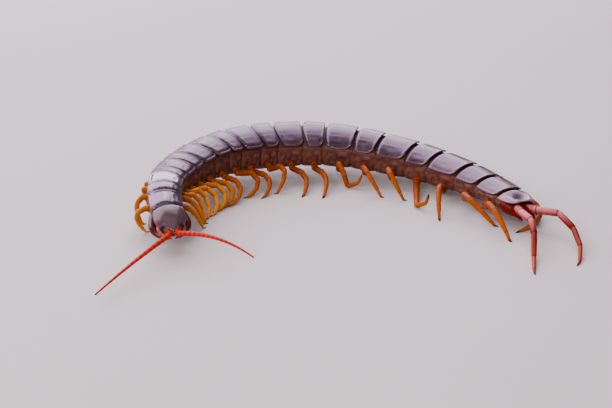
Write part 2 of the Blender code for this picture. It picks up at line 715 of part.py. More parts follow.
def feeler(side):
    """One feeler, tapering evenly from its socket to the tip."""
    hand = "left" if side > 0 else "right"
    frame = head_frame()
    forward = frame.col[0].xyz
    root = frame @ Vector((SOCKET_REACH[1] + GAP, side * SOCKET_SIDEWAYS, SOCKET_RISE))
    start = root + 1.2 * MM * forward
    tip = root + MM * Vector(FEELER_TIPS[hand])
    bow = MM * Vector(FEELER_BOWS[hand])
    points, radii = [root], [FEELER_ROOT_RADIUS]
    for article in range(FEELER_ARTICLES + 1):
        share = article / FEELER_ARTICLES
        points.append(start.lerp(tip, share) + 4 * share * (1 - share) * bow)
        radii.append(FEELER_ROOT_RADIUS + (FEELER_TIP_RADIUS - FEELER_ROOT_RADIUS) * share ** 0.85)
    rings = tube_rings(points, radii, FEELER_SIDES, forward)
    return dress(loft(f"antenna_{hand}", rings), FEELER_FINISH)


def venom_claw(side):
    """One venom claw, curving in under the front of the head."""
    frame = head_frame()
    points = [in_mm(frame, forward, side * across, rise) for forward, across, rise, _ in VENOM_CLAW]
    radii = [radius * MM for _, _, _, radius in VENOM_CLAW]
    inner, outer = [in_mm(frame, forward, side * across, rise) for forward, across, rise in VENOM_STUB]
    axis = (outer - inner).normalized()
    points[0] = outer + GAP * axis
    rings = tube_rings(points, radii, VENOM_SIDES, axis)
    return dress(loft(f"forcipule_{'left' if side > 0 else 'right'}", rings), VENOM_FINISH)


def jaws():
    """Mouthparts under the front of the head."""
    frame = head_frame()
    rings = []
    for forward, half, top, low in JAWS:
        middle, half_depth = (top + low) / 2 * MM, (top - low) / 2 * MM
        rings.append(squared_ring(frame, forward * MM, half * MM, middle, half_depth, 10, 2.6))
    return dress(loft("mouthparts", rings), JAW_FINISH)


def main():
    """Clears the scene and builds every node."""
    for item in list(bpy.data.objects):
        bpy.data.objects.remove(item)
    for index in range(LAST_PLATE // PLATES_PER_LENGTH):
        trunk_length(index)
    head()
    jaws()
    for side in (1, -1):
        eye_group(side)
        feeler(side)
        venom_claw(side)
        for pair in range(1, LAST_PLATE):
            walking_leg(pair, side)
        last_leg(side)


main()
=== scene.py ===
"""Giant centipede, dressed: shell plates, flanks, legs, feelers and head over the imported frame.

Units are metres, +Z is up and the floor is the plane z = 0. Places along the body are
counted in borders: 0 is the front of the head, 1 is where the head meets the first plate,
and plate n lies between border n and border n + 1. The animal's left is inside the bend.
"""

import logging
import math
from dataclasses import dataclass, field
from enum import Enum
from typing import Callable

import bmesh
import bpy
from mathutils import Matrix, Vector, noise

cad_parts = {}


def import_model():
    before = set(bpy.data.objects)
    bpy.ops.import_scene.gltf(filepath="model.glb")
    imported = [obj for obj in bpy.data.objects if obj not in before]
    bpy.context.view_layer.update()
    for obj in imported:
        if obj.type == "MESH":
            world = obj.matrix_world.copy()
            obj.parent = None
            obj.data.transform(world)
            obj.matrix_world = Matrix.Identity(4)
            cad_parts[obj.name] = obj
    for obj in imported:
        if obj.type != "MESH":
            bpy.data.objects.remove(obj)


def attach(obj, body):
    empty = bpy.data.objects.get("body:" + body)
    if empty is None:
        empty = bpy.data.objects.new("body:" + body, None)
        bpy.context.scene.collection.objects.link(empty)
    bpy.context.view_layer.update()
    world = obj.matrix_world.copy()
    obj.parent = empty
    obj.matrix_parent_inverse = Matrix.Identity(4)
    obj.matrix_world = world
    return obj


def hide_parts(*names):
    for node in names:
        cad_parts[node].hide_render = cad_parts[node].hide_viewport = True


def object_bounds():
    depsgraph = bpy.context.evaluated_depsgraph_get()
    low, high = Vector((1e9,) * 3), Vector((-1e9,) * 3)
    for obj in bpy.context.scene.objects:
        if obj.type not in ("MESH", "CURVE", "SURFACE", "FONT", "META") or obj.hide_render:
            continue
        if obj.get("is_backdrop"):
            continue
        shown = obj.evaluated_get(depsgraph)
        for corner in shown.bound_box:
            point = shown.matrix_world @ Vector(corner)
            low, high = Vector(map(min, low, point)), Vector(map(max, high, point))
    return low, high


LOG = logging.getLogger("centipede")
MM = 0.001
UP = Vector((0.0, 0.0, 1.0))
IMAGE_WIDTH = 612
LAST_PLATE = 21
TAIL_END = 22

Material = bpy.types.Material
Colour = tuple[float, float, float]
Values = tuple[float, ...]
Rows = tuple[Values, ...]
Sizes = dict[float, float]
Pair = tuple[float, float]
Place = tuple[float, float, float]


class Side(Enum):
    """The two sides of the animal, with the sign of their sideways direction."""

    LEFT = 1
    RIGHT = -1

    @property
    def hand(self) -> str:
        """Word for the side in the nodes' names."""
        return self.name.lower()


def blend(low: float, high: float, share: float) -> float:
    """Value between two others."""
    return low + (high - low) * share


def step(low: float, high: float, value: float) -> float:
    """Smooth step from 0 at one value to 1 at another."""
    t = min(max((value - low) / (high - low), 0.0), 1.0)
    return t * t * (3 - 2 * t)


def hump(value: float, middle: float, width: float) -> float:
    """Bell of height 1 round a middle."""
    return math.exp(-(((value - middle) / width) ** 2))


def along(sizes: Sizes, place: float) -> float:
    """Smooth value at a place of a size that is given at a few places.

    Args:
        sizes: The size at each given place.
        place: Where it is wanted.

    Returns:
        The size there, held at the ends.
    """
    keys = sorted(sizes)
    place = min(max(place, keys[0]), keys[-1])
    index = max(k for k in range(len(keys) - 1) if keys[k] <= place)
    first, last = keys[index], keys[index + 1]
    slopes = []
    for key in (index, index + 1):
        before, after = keys[max(key - 1, 0)], keys[min(key + 1, len(keys) - 1)]
        slopes.append((sizes[after] - sizes[before]) / (after - before))
    width = last - first
    t = (place - first) / width
    rise = t * t * (3 - 2 * t)
    bend = width * (t * (1 - t) ** 2 * slopes[0] - t * t * (1 - t) * slopes[1])
    return sizes[first] * (1 - rise) + sizes[last] * rise + bend


def given(table: dict) -> dict:
    """Dataclass field that starts as a copy of a table."""
    return field(default_factory=lambda: dict(table))


def tables(rows: Rows) -> list[Sizes]:
    """Every later column of some rows, against their first column."""
    return [{row[0]: row[number] for row in rows} for number in range(1, len(rows[0]))]


def pose(origin: Vector, *axes: Vector) -> Matrix:
    """Matrix from an origin and three unit directions at right angles."""
    return Matrix.Translation(origin) @ Matrix(axes).transposed().to_4x4()


def circle(count: int, shift: float = 0.0) -> list[float]:
    """Turns of points spread evenly round a circle, shifted by a share of their distance."""
    return [2 * math.pi * (k + shift) / count for k in range(count)]


def squared(turn: float, power: float) -> Pair:
    """Point at a turn of a squared oval with half sizes of 1."""
    across, rise = (math.copysign(abs(c) ** (2 / power), c) for c in (math.cos(turn), math.sin(turn)))
    return across, rise


def from_end_to_end(count: int) -> list[float]:
    """Shares of a length from 0 to 1, closer together near both ends."""
    return [0.5 - 0.5 * math.cos(math.pi * k / (count - 1)) for k in range(count)]


def from_side_to_side(count: int) -> list[float]:
    """Shares of a half width from -1 to 1, closer together near both sides."""
    return [math.sin(math.pi * (k / (count - 1) - 0.5)) for k in range(count)]


def rounded(inwards: float) -> float:
    """Height of a round rim at a distance inwards from it, both as shares of its radius."""
    return math.sqrt(1 - (1 - min(inwards, 1.0)) ** 2)


def grain(point: Vector, size: float) -> float:
    """Soft random value of about -1 to 1 whose patches are about a size across."""
    return noise.noise(point / size)


def uneven(point: Vector, waves: Rows) -> float:
    """Height of layers of grain, each given by the size of its patches and its height in mm."""
    return sum(height * MM * grain(point, size * MM) for size, height in waves)


def off_floor(point: Vector) -> Vector:
    """The point, raised to the floor where it is below it."""
    return Vector((point.x, point.y, max(point.z, 0.0)))


@dataclass(frozen=True)
class Swell:
    """Soft swelling of a surface, or a dent where its height is negative.

    Attributes:
        height: Height at its middle.
        first: Middle and half width in the first direction.
        second: The same in the second direction.
    """

    height: float
    first: Pair
    second: Pair

    def cover(self, first: float, second: float) -> float:
        """Share of the height at a place."""
        return hump(first, *self.first) * hump(second, *self.second)

    def at(self, first: float, second: float) -> float:
        """Height at a place."""
        return self.height * self.cover(first, second)


# Shaders


class Graph:
    """Node tree of one finish."""

    def __init__(self, name: str) -> None:
        """Starts a material with its shader.

        Args:
            name: Name of the material.
        """
        self.material = bpy.data.materials.new(name)
        self.material.use_nodes = True
        self.tree = self.material.node_tree
        self.shader = self.tree.nodes["Principled BSDF"]

    def node(
        self,
        kind: str,
        settings: dict | None = None,
        inputs: dict | None = None,
        output: int | str = 0,
    ) -> "Signal":
        """Adds a node.

        Args:
            kind: Blender's name of the node type.
            settings: Properties, set before anything else.
            inputs: Values or signals by socket.
            output: The socket that is wanted.

        Returns:
            The signal that leaves the node.
        """
        item = self.tree.nodes.new(kind)
        for key, value in (settings or {}).items():
            setattr(item, key, value)
        for key, value in (inputs or {}).items():
            self.feed(item.inputs[key], value)
        return Signal(self, item.outputs[output])

    def feed(self, socket: bpy.types.NodeSocket, value: "Signal | float | tuple") -> None:
        """Gives a socket a signal or a fixed value.

        Args:
            socket: The socket to set.
            value: A signal to link, a number, or a colour.
        """
        if isinstance(value, Signal):
            self.tree.links.new(value.socket, socket)
        elif isinstance(value, tuple) and socket.type == "RGBA":
            socket.default_value = (*value, 1.0)
        else:
            socket.default_value = value

    def trait(self, name: str) -> "Signal":
        """Value that the mesh carries at its points."""
        return self.node("ShaderNodeAttribute", {"attribute_name": name}, output="Fac")

    def place(self) -> "Signal":
        """Place on the object."""
        return self.node("ShaderNodeTexCoord", output="Object")

    def speckle(self, size: float, detail: float = 2.0, rough: float = 0.5) -> "Signal":
        """Soft random value from 0 to 1 whose patches are about a size across."""
        inputs = {"Vector": self.place(), "Scale": 1 / size, "Detail": detail, "Roughness": rough}
        return self.node("ShaderNodeTexNoise", inputs=inputs)

    def cells(self, size: float) -> "Signal":
        """Distance to the nearest of scattered points, in shares of a cell's size."""
        return self.node("ShaderNodeTexVoronoi", inputs={"Vector": self.place(), "Scale": 1 / size})

    def tint(self, share: "Signal | float", first: "Signal | Colour", second: "Signal | Colour") -> "Signal":
        """Mix of two colours."""
        return self.node("ShaderNodeMix", {"data_type": "RGBA"}, {0: share, 6: first, 7: second}, 2)

    def relief(self, height: "Signal", depth: float, strength: float = 1.0) -> "Signal":
        """Surface direction over small heights of a given depth."""
        return self.node("ShaderNodeBump", inputs={"Strength": strength, "Distance": depth, "Height": height})

    def finish(self, fixed: dict, **varying: "Signal") -> Material:
        """Sets the shader's sockets.

        Args:
            fixed: Constants by socket name.
            varying: Signals by socket name, with underscores for spaces.

        Returns:
            The finished material.
        """
        for key, value in fixed.items():
            self.feed(self.shader.inputs[key], value)
        for key, value in varying.items():
            self.feed(self.shader.inputs[key.replace("_", " ")], value)
        return self.material


@dataclass(frozen=True)
class Signal:
    """A value in a shader, so that sums can be written as they are read."""

    graph: Graph
    socket: bpy.types.NodeSocket

    def math(self, operation: str, *values: "Signal | float") -> "Signal":
        """Joins values with a Math node."""
        return self.graph.node("ShaderNodeMath", {"operation": operation}, dict(enumerate(values)))

    def __add__(self, other: "Signal | float") -> "Signal":
        """Sum."""
        return self.math("ADD", self, other)

    def __radd__(self, other: float) -> "Signal":
        """Sum with a number first."""
        return self.math("ADD", other, self)

    def __rsub__(self, other: float) -> "Signal":
        """Difference from a number."""
        return self.math("SUBTRACT", other, self)

    def __mul__(self, other: "Signal | float") -> "Signal":
        """Product."""
        return self.math("MULTIPLY", self, other)

    def __rmul__(self, other: float) -> "Signal":
        """Product with a number first."""
        return self.math("MULTIPLY", other, self)

    def ramp(self, low: float, high: float) -> "Signal":
        """Smooth rise from 0 to 1 between two values."""
        settings = {"interpolation_type": "SMOOTHSTEP"}
        return self.graph.node("ShaderNodeMapRange", settings, {0: self, 1: low, 2: high})


# Finishes


@dataclass(frozen=True)
class Finish:
    """What all finishes share: a name, a gloss and a coat.

    Attributes:
        name: Name of the material.
        rough: Roughness of the plain surface.
        coat: Weight of the clear outer layer.
        bloom: Weight of the soft light at glancing angles.
        shine: Strength of the reflections.
        shine_colour: Colour of the reflections and of the soft light.
    """

    name: str
    rough: float = 0.3
    coat: float = 0.0
    bloom: float = 0.0
    shine: float = 0.5
    shine_colour: Colour = (1.0, 1.0, 1.0)

    def material(self) -> Material:
        """The material, made at its first use."""
        known = bpy.data.materials.get(self.name)
        return known or self.paint(Graph(self.name))

    def paint(self, graph: Graph) -> Material:
        """Builds the shader."""
        raise NotImplementedError

    def fixed(self) -> dict:
        """Constants for the shader's sockets."""
        return {
            "Metallic": 0.0,
            "Coat Weight": self.coat,
            "Coat Roughness": 0.08,
            "Specular IOR Level": self.shine,
            "Specular Tint": self.shine_colour,
            "Sheen Weight": self.bloom,
            "Sheen Roughness": 0.35,
            "Sheen Tint": self.shine_colour,
        }


@dataclass(frozen=True)
class ShellFinish(Finish):
    """Dark polished shell with a paler rim, faint clouds, fine pits, scuffs and painted shade at the plates'
    front edges and in dents.

    Attributes:
        deep: Darkest colour.
        broad: Colour of the paler clouds.
        rim: Colour along the edges.
        scuff: Colour of the fine scuffs.
        shade: Colour of the painted shade at the plates' front edges and in dents.
        cloud_size: Size of the clouds.
        scuff_size: Size of the scuffs.
        dust_size: Size of the finest specks.
        pit: Distance between the fine pits.
        depth: Depth of the fine relief.
    """

    deep: Colour = (0.020, 0.011, 0.014)
    broad: Colour = (0.055, 0.034, 0.042)
    rim: Colour = (0.110, 0.030, 0.022)
    scuff: Colour = (0.09, 0.06, 0.075)
    shade: Colour = (0.006, 0.003, 0.003)
    cloud_size: float = 2.6 * MM
    scuff_size: float = 0.35 * MM
    dust_size: float = 0.09 * MM
    pit: float = 0.22 * MM
    depth: float = 0.008 * MM

    def paint(self, graph: Graph) -> Material:
        """Builds the shader from the rim and painted shade values of the mesh.

        Args:
            graph: Node tree that it is built in.

        Returns:
            The finished material.
        """
        rim, painted_shade = graph.trait("rim"), graph.trait("painted_shade")
        clouds = graph.speckle(self.cloud_size, 4.0, 0.6)
        scuffs = graph.speckle(self.scuff_size, 3.0, 0.65)
        dust = graph.speckle(self.dust_size, 2.0)
        pits = graph.cells(self.pit).ramp(0.0, 0.34)
        colour = graph.tint(clouds.ramp(0.34, 0.68), self.deep, self.broad)
        colour = graph.tint(scuffs.ramp(0.55, 0.8) * 0.25, colour, self.scuff)
        colour = graph.tint(rim.ramp(0.15, 0.9) * 0.85, colour, self.rim)
        # Painted shade: darkens the plates' front edges under the plate ahead, and the dents of the head and
        # the tail plate.
        colour = graph.tint(painted_shade.ramp(0.1, 0.8) * 0.9, colour, self.shade)
        rough = self.rough + 0.10 * clouds.ramp(0.3, 0.75) + 0.06 * scuffs + 0.03 * dust
        rough = rough + 0.45 * painted_shade.ramp(0.3, 1.0)
        relief = graph.relief(scuffs * 0.5 + dust * 0.25 + pits * 0.35, self.depth, 0.5)
        return graph.finish(self.fixed(), Base_Color=colour, Roughness=rough, Normal=relief)


@dataclass(frozen=True)
class FlankFinish(Finish):
    """Leathery skin between the plates, with paler cushions, painted shade in its creases, under the plates
    and in the breathing holes, and a painted highlight along its lower edge.

    Attributes:
        deep: Colour of the painted shade.
        broad: Colour of the skin.
        dim: Colour of its darker clouds.
        cushion: Colour of its raised cushions.
        margin: Colour of the painted highlight along the lower flank between the legs.
        cloud_size: Size of the clouds.
        crease_size: Size of the creases.
        leather_size: Distance between the fine lumps.
        depth: Depth of the relief.
    """

    deep: Colour = (0.030, 0.007, 0.004)
    broad: Colour = (0.160, 0.042, 0.022)
    dim: Colour = (0.075, 0.018, 0.012)
    cushion: Colour = (0.190, 0.060, 0.036)
    margin: Colour = (0.300, 0.120, 0.090)
    cloud_size: float = 1.7 * MM
    crease_size: float = 0.22 * MM
    leather_size: float = 0.16 * MM
    depth: float = 0.045 * MM

    def paint(self, graph: Graph) -> Material:
        """Builds the shader from the painted shade, cushion and painted highlight values of the mesh.

        Args:
            graph: Node tree that it is built in.

        Returns:
            The finished material.
        """
        fold, cushion, margin = graph.trait("fold"), graph.trait("cushion"), graph.trait("margin")
        clouds = graph.speckle(self.cloud_size, 4.0, 0.6)
        creases = graph.speckle(self.crease_size, 4.0, 0.7)
        leather = graph.cells(self.leather_size)
        colour = graph.tint(clouds.ramp(0.3, 0.7), self.broad, self.dim)
        colour = graph.tint(cushion * creases.ramp(0.25, 0.75), colour, self.cushion)
        # Painted shade in the creases, along the top under the plates and in the breathing holes.
        colour = graph.tint(fold.ramp(0.05, 0.9) * 0.8, colour, self.deep)
        # Painted highlight along the lower flank between the legs.
        colour = graph.tint(margin * creases.ramp(0.1, 0.6), colour, self.margin)
        rough = self.rough + 0.2 * creases + 0.12 * fold
        relief = graph.relief(creases * 0.6 + leather * 0.5, self.depth, 0.8)
        return graph.finish(self.fixed(), Base_Color=colour, Roughness=rough, Normal=relief)


@dataclass(frozen=True)
class LimbFinish(Finish):
    """Clear coloured shell of a leg or feeler, which pales or darkens towards its end.

    Attributes:
        root: Colour at the root.
        middle: Colour halfway.
        end: Colour of the last articles.
        joint: Colour of the soft rings at the joints.
        bright: Colour of the painted highlight on the upper side.
        tip: Colour of the claw.
        tip_start: Where the claw's colour starts, as a share of the length.
        cloud_size: Size of the clouds.
        fine_size: Size of the fine specks.
        pit: Distance between the fine pits.
        fuzz: Depth of the relief of pits and short hairs.
        clear: Weight of the light that passes through the shell.
        clear_depth: How deep that light goes.
        clear_colour: How far each colour of it goes, against that depth.
    """

    root: Colour = (0.130, 0.016, 0.0)
    middle: Colour = (0.230, 0.030, 0.0)
    end: Colour = (0.380, 0.070, 0.0)
    joint: Colour = (0.400, 0.100, 0.008)
    bright: Colour = (1.0, 0.350, 0.005)
    tip: Colour = (0.020, 0.007, 0.004)
    tip_start: float = 0.95
    cloud_size: float = 1.1 * MM
    fine_size: float = 0.16 * MM
    pit: float = 0.13 * MM
    fuzz: float = 0.010 * MM
    clear: float = 0.05
    clear_depth: float = 0.6 * MM
    clear_colour: Colour = (1.0, 0.35, 0.12)

    def paint(self, graph: Graph) -> Material:
        """Builds the shader from the distance, joint and painted highlight values of the mesh.

        Args:
            graph: Node tree that it is built in.

        Returns:
            The finished material.
        """
        distance, joint, bright = graph.trait("distance"), graph.trait("joint"), graph.trait("bright")
        clouds = graph.speckle(self.cloud_size, 4.0, 0.6)
        fine = graph.speckle(self.fine_size, 3.0, 0.6)
        pits = graph.cells(self.pit).ramp(0.0, 0.45)
        claw = distance.ramp(self.tip_start - 0.025, self.tip_start + 0.02)
        colour = graph.tint(distance.ramp(0.02, 0.5), self.root, self.middle)
        colour = graph.tint(distance.ramp(0.45, 0.9), colour, self.end)
        colour = graph.tint(clouds.ramp(0.42, 0.75) * 0.4, colour, self.root)
        # Painted highlight: paler colour on the upper side, standing in for reflected light.
        colour = graph.tint(bright, colour, self.bright)
        colour = graph.tint(joint.ramp(0.1, 0.9) * 0.75, colour, self.joint)
        colour = graph.tint(claw, colour, self.tip)
        rough = self.rough + 0.14 * clouds + 0.10 * fine + 0.08 * joint
        relief = graph.relief(fine * 0.5 + pits * 0.5, self.fuzz, 0.8)
        return graph.finish(self.fixed(), Base_Color=colour, Roughness=rough, Normal=relief)

    def fixed(self) -> dict:
        """Constants for the shader's sockets, with those of the clear shell."""
        return super().fixed() | {
            "Subsurface Weight": self.clear,
            "Subsurface Radius": self.clear_colour,
            "Subsurface Scale": self.clear_depth,
        }


@dataclass(frozen=True)
class EyeFinish(Finish):
    """Black glass-like domes on a dull dark bed.

    Attributes:
        dome: Colour of the domes.
        bed: Colour round them.
        fine_size: Size of the bed's specks.
        depth: Depth of its relief.
    """

    dome: Colour = (0.004, 0.003, 0.004)
    bed: Colour = (0.008, 0.005, 0.006)
    fine_size: float = 0.12 * MM
    depth: float = 0.015 * MM

    def paint(self, graph: Graph) -> Material:
        """Builds the shader from the dome value of the mesh.

        Args:
            graph: Node tree that it is built in.

        Returns:
            The finished material.
        """
        dome = graph.trait("dome")
        fine = graph.speckle(self.fine_size, 3.0)
        colour = graph.tint(dome.ramp(0.2, 0.8), self.bed, self.dome)
        rough = self.rough + 0.42 * (1 - dome.ramp(0.2, 0.8)) + 0.05 * fine
        relief = graph.relief(fine * (1 - dome), self.depth, 0.7)
        return graph.finish(self.fixed(), Base_Color=colour, Roughness=rough, Normal=relief)


LILAC = (0.92, 0.60, 1.0)
BACK_SHELL = ShellFinish("back_shell", rough=0.22, coat=0.08, bloom=0.015, shine=0.60, shine_colour=LILAC)
FRONT_SHELL = ShellFinish("front_shell", rough=0.20, coat=0.80, bloom=0.02, shine=1.0, shine_colour=LILAC)
HEAD_SHELL = ShellFinish(
    "head_shell",
    rough=0.16,
    coat=0.95,
    bloom=0.01,
    shine=1.0,
    shine_colour=LILAC,
    broad=(0.055, 0.028, 0.050),
    rim=(0.085, 0.004, 0.006),
    pit=0.16 * MM,
)
# The tail plate's pale lilac-pink rim colour is a painted reflection of the light.
TAIL_SHELL = ShellFinish(
    "tail_shell",
    rough=0.22,
    coat=0.10,
    bloom=0.02,
    shine=0.55,
    shine_colour=LILAC,
    broad=(0.070, 0.034, 0.040),
    rim=(0.260, 0.110, 0.150),
)
BELLY_SHELL = ShellFinish(
    "belly_shell",
    rough=0.30,
    coat=0.2,
    deep=(0.150, 0.050, 0.014),
    broad=(0.260, 0.100, 0.030),
    rim=(0.10, 0.03, 0.012),
)
FLANK_SKIN = FlankFinish("flank_skin", rough=0.36, coat=0.05, shine=0.35)
# The legs' bright orange is painted light, used on the front pairs.
LEG_SHELL = LimbFinish("leg_shell", rough=0.30, shine=0.08, shine_colour=(1.0, 0.45, 0.15))
# The pink bright colour of the last legs is a painted reflection on the upper side of their first articles.
LAST_LEG_SHELL = LimbFinish(
    "last_leg_shell",
    rough=0.24,
    shine=0.08,
    shine_colour=(1.0, 0.40, 0.30),
    root=(0.110, 0.002, 0.0),
    middle=(0.180, 0.004, 0.0),
    end=(0.360, 0.045, 0.0),
    joint=(0.100, 0.006, 0.001),
    bright=(0.800, 0.220, 0.240),
)
# The feelers' pale red bright colour is a painted highlight on their upper side.
FEELER_SHELL = LimbFinish(
    "feeler_shell",
    rough=0.28,
    shine=0.10,
    shine_colour=(1.0, 0.30, 0.20),
    root=(0.420, 0.004, 0.0),
    middle=(0.540, 0.001, 0.0),
    end=(0.400, 0.006, 0.0),
    joint=(0.260, 0.003, 0.0),
    bright=(0.900, 0.090, 0.060),
    tip_start=1.2,
    fuzz=0.022 * MM,
)
VENOM_SHELL = LimbFinish(
    "venom_shell",
    rough=0.10,
    coat=0.20,
    shine=0.30,
    root=(0.065, 0.001, 0.0),
    middle=(0.080, 0.001, 0.0),
    end=(0.080, 0.003, 0.001),
    joint=(0.090, 0.003, 0.001),
    tip=(0.006, 0.004, 0.004),
    tip_start=0.80,
)
# The jaws' bright colour is a painted highlight on the outer palps.
JAW_SHELL = LimbFinish(
    "jaw_shell",
    rough=0.32,
    coat=0.2,
    root=(0.100, 0.008, 0.004),
    middle=(0.300, 0.045, 0.008),
    end=(0.330, 0.055, 0.002),
    joint=(0.100, 0.012, 0.006),
    bright=(0.700, 0.170, 0.0),
    tip_start=0.93,
)
EYE_GLASS = EyeFinish("eye_glass", rough=0.12, shine=0.2)


# Meshes


@dataclass
class Surface:
    """Closed surfaces gathered into one mesh, with named values at their points.

    Attributes:
        traits: Names of the values that every point carries.
        points: Places of the points.
        values: The values of each point, in the order of the names.
        faces: Points of each face.
    """

    traits: tuple[str, ...]
    points: list[Vector] = field(default_factory=list)
    values: list[Values] = field(default_factory=list)
    faces: list[tuple[int, ...]] = field(default_factory=list)

    def add(self, point: Vector, values: Values) -> int:
        """Adds a point.

        Args:
            point: Its place.
            values: Its values.

        Returns:
            Its number.
        """
        self.points.append(point)
        self.values.append(values)
        return len(self.points) - 1

    def tube(self, rings: list[list[Vector]], value: Callable[[int, int], Values]) -> None:
        """Skins rings of equally many points and closes each end on a middle point.

        Args:
            rings: The rings in order.
            value: Values at a ring's number and a point's number.
        """
        first, count = len(self.points), len(rings[0])
        for row, ring in enumerate(rings):
            for k, point in enumerate(ring):
                self.add(point, value(row, k))
        for row in range(len(rings) - 1):
            low = first + row * count
            for k in range(count):
                after = (k + 1) % count
                self.faces.append((low + k, low + after, low + count + after, low + count + k))
        for row in (0, len(rings) - 1):
            pole = self.add(sum(rings[row], Vector()) / count, value(row, 0))
            low = first + row * count
            for k in range(count):
                ends = (low + k, low + (k + 1) % count)
                self.faces.append((*(ends if row else ends[::-1]), pole))

    def plate(
        self,
        rows: int,
        columns: int,
        place: Callable[[int, int, float], Vector],
        value: Callable[[int, int], Values],
    ) -> None:
        """Closed plate: an upper and a lower sheet over one grid, which share their edge points.

        Args:
            rows: Number of rows of points.
            columns: Number of columns.
            place: Point at a row, a column and a face, 1 for the upper and -1 for the lower.
            value: Values at a row and a column.
        """
        sheets: list[dict[tuple[int, int], int]] = []
        for face in (1.0, -1.0):
            numbers = {}
            for row in range(rows):
                for column in range(columns):
                    edge = row in (0, rows - 1) or column in (0, columns - 1)
                    if edge and sheets:
                        numbers[row, column] = sheets[0][row, column]
                    else:
                        numbers[row, column] = self.add(place(row, column, face), value(row, column))
            sheets.append(numbers)
        for row in range(rows - 1):
            for column in range(columns - 1):
                corners = ((row, column), (row, column + 1), (row + 1, column + 1), (row + 1, column))
                self.faces.append(tuple(sheets[0][corner] for corner in corners))
                self.faces.append(tuple(sheets[1][corner] for corner in corners[::-1]))

    def piece(self, name: str, finish: Finish, slot: str, *nodes: str) -> None:
        """Makes the object, which rides on the root and stands for some nodes of the frame.

        Args:
            name: Name of the piece.
            finish: Its finish.
            slot: Name of a slot for it, not used.
            nodes: Nodes of the frame that it replaces.
        """
        data = bpy.data.meshes.new(name)
        data.from_pydata(self.points, [], self.faces)
        for number, trait in enumerate(self.traits):
            layer = data.attributes.new(trait, "FLOAT", "POINT")
            layer.data.foreach_set("value", [row[number] for row in self.values])
        shape = bmesh.new()
        shape.from_mesh(data)
        bmesh.ops.recalc_face_normals(shape, faces=shape.faces[:])
        shape.to_mesh(data)
        shape.free()
        data.shade_smooth()
        data.materials.append(finish.material())
        item = bpy.data.objects.new(name, data)
        bpy.context.scene.collection.objects.link(item)
        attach(item, "root")
        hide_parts(*nodes)
        LOG.info("%s: %d faces", name, len(self.faces))


@dataclass(frozen=True)
class Stop:
    """One ring of a limb: its centre, direction, radius and values."""

    centre: Vector
    axis: Vector
    radius: float
    values: Values


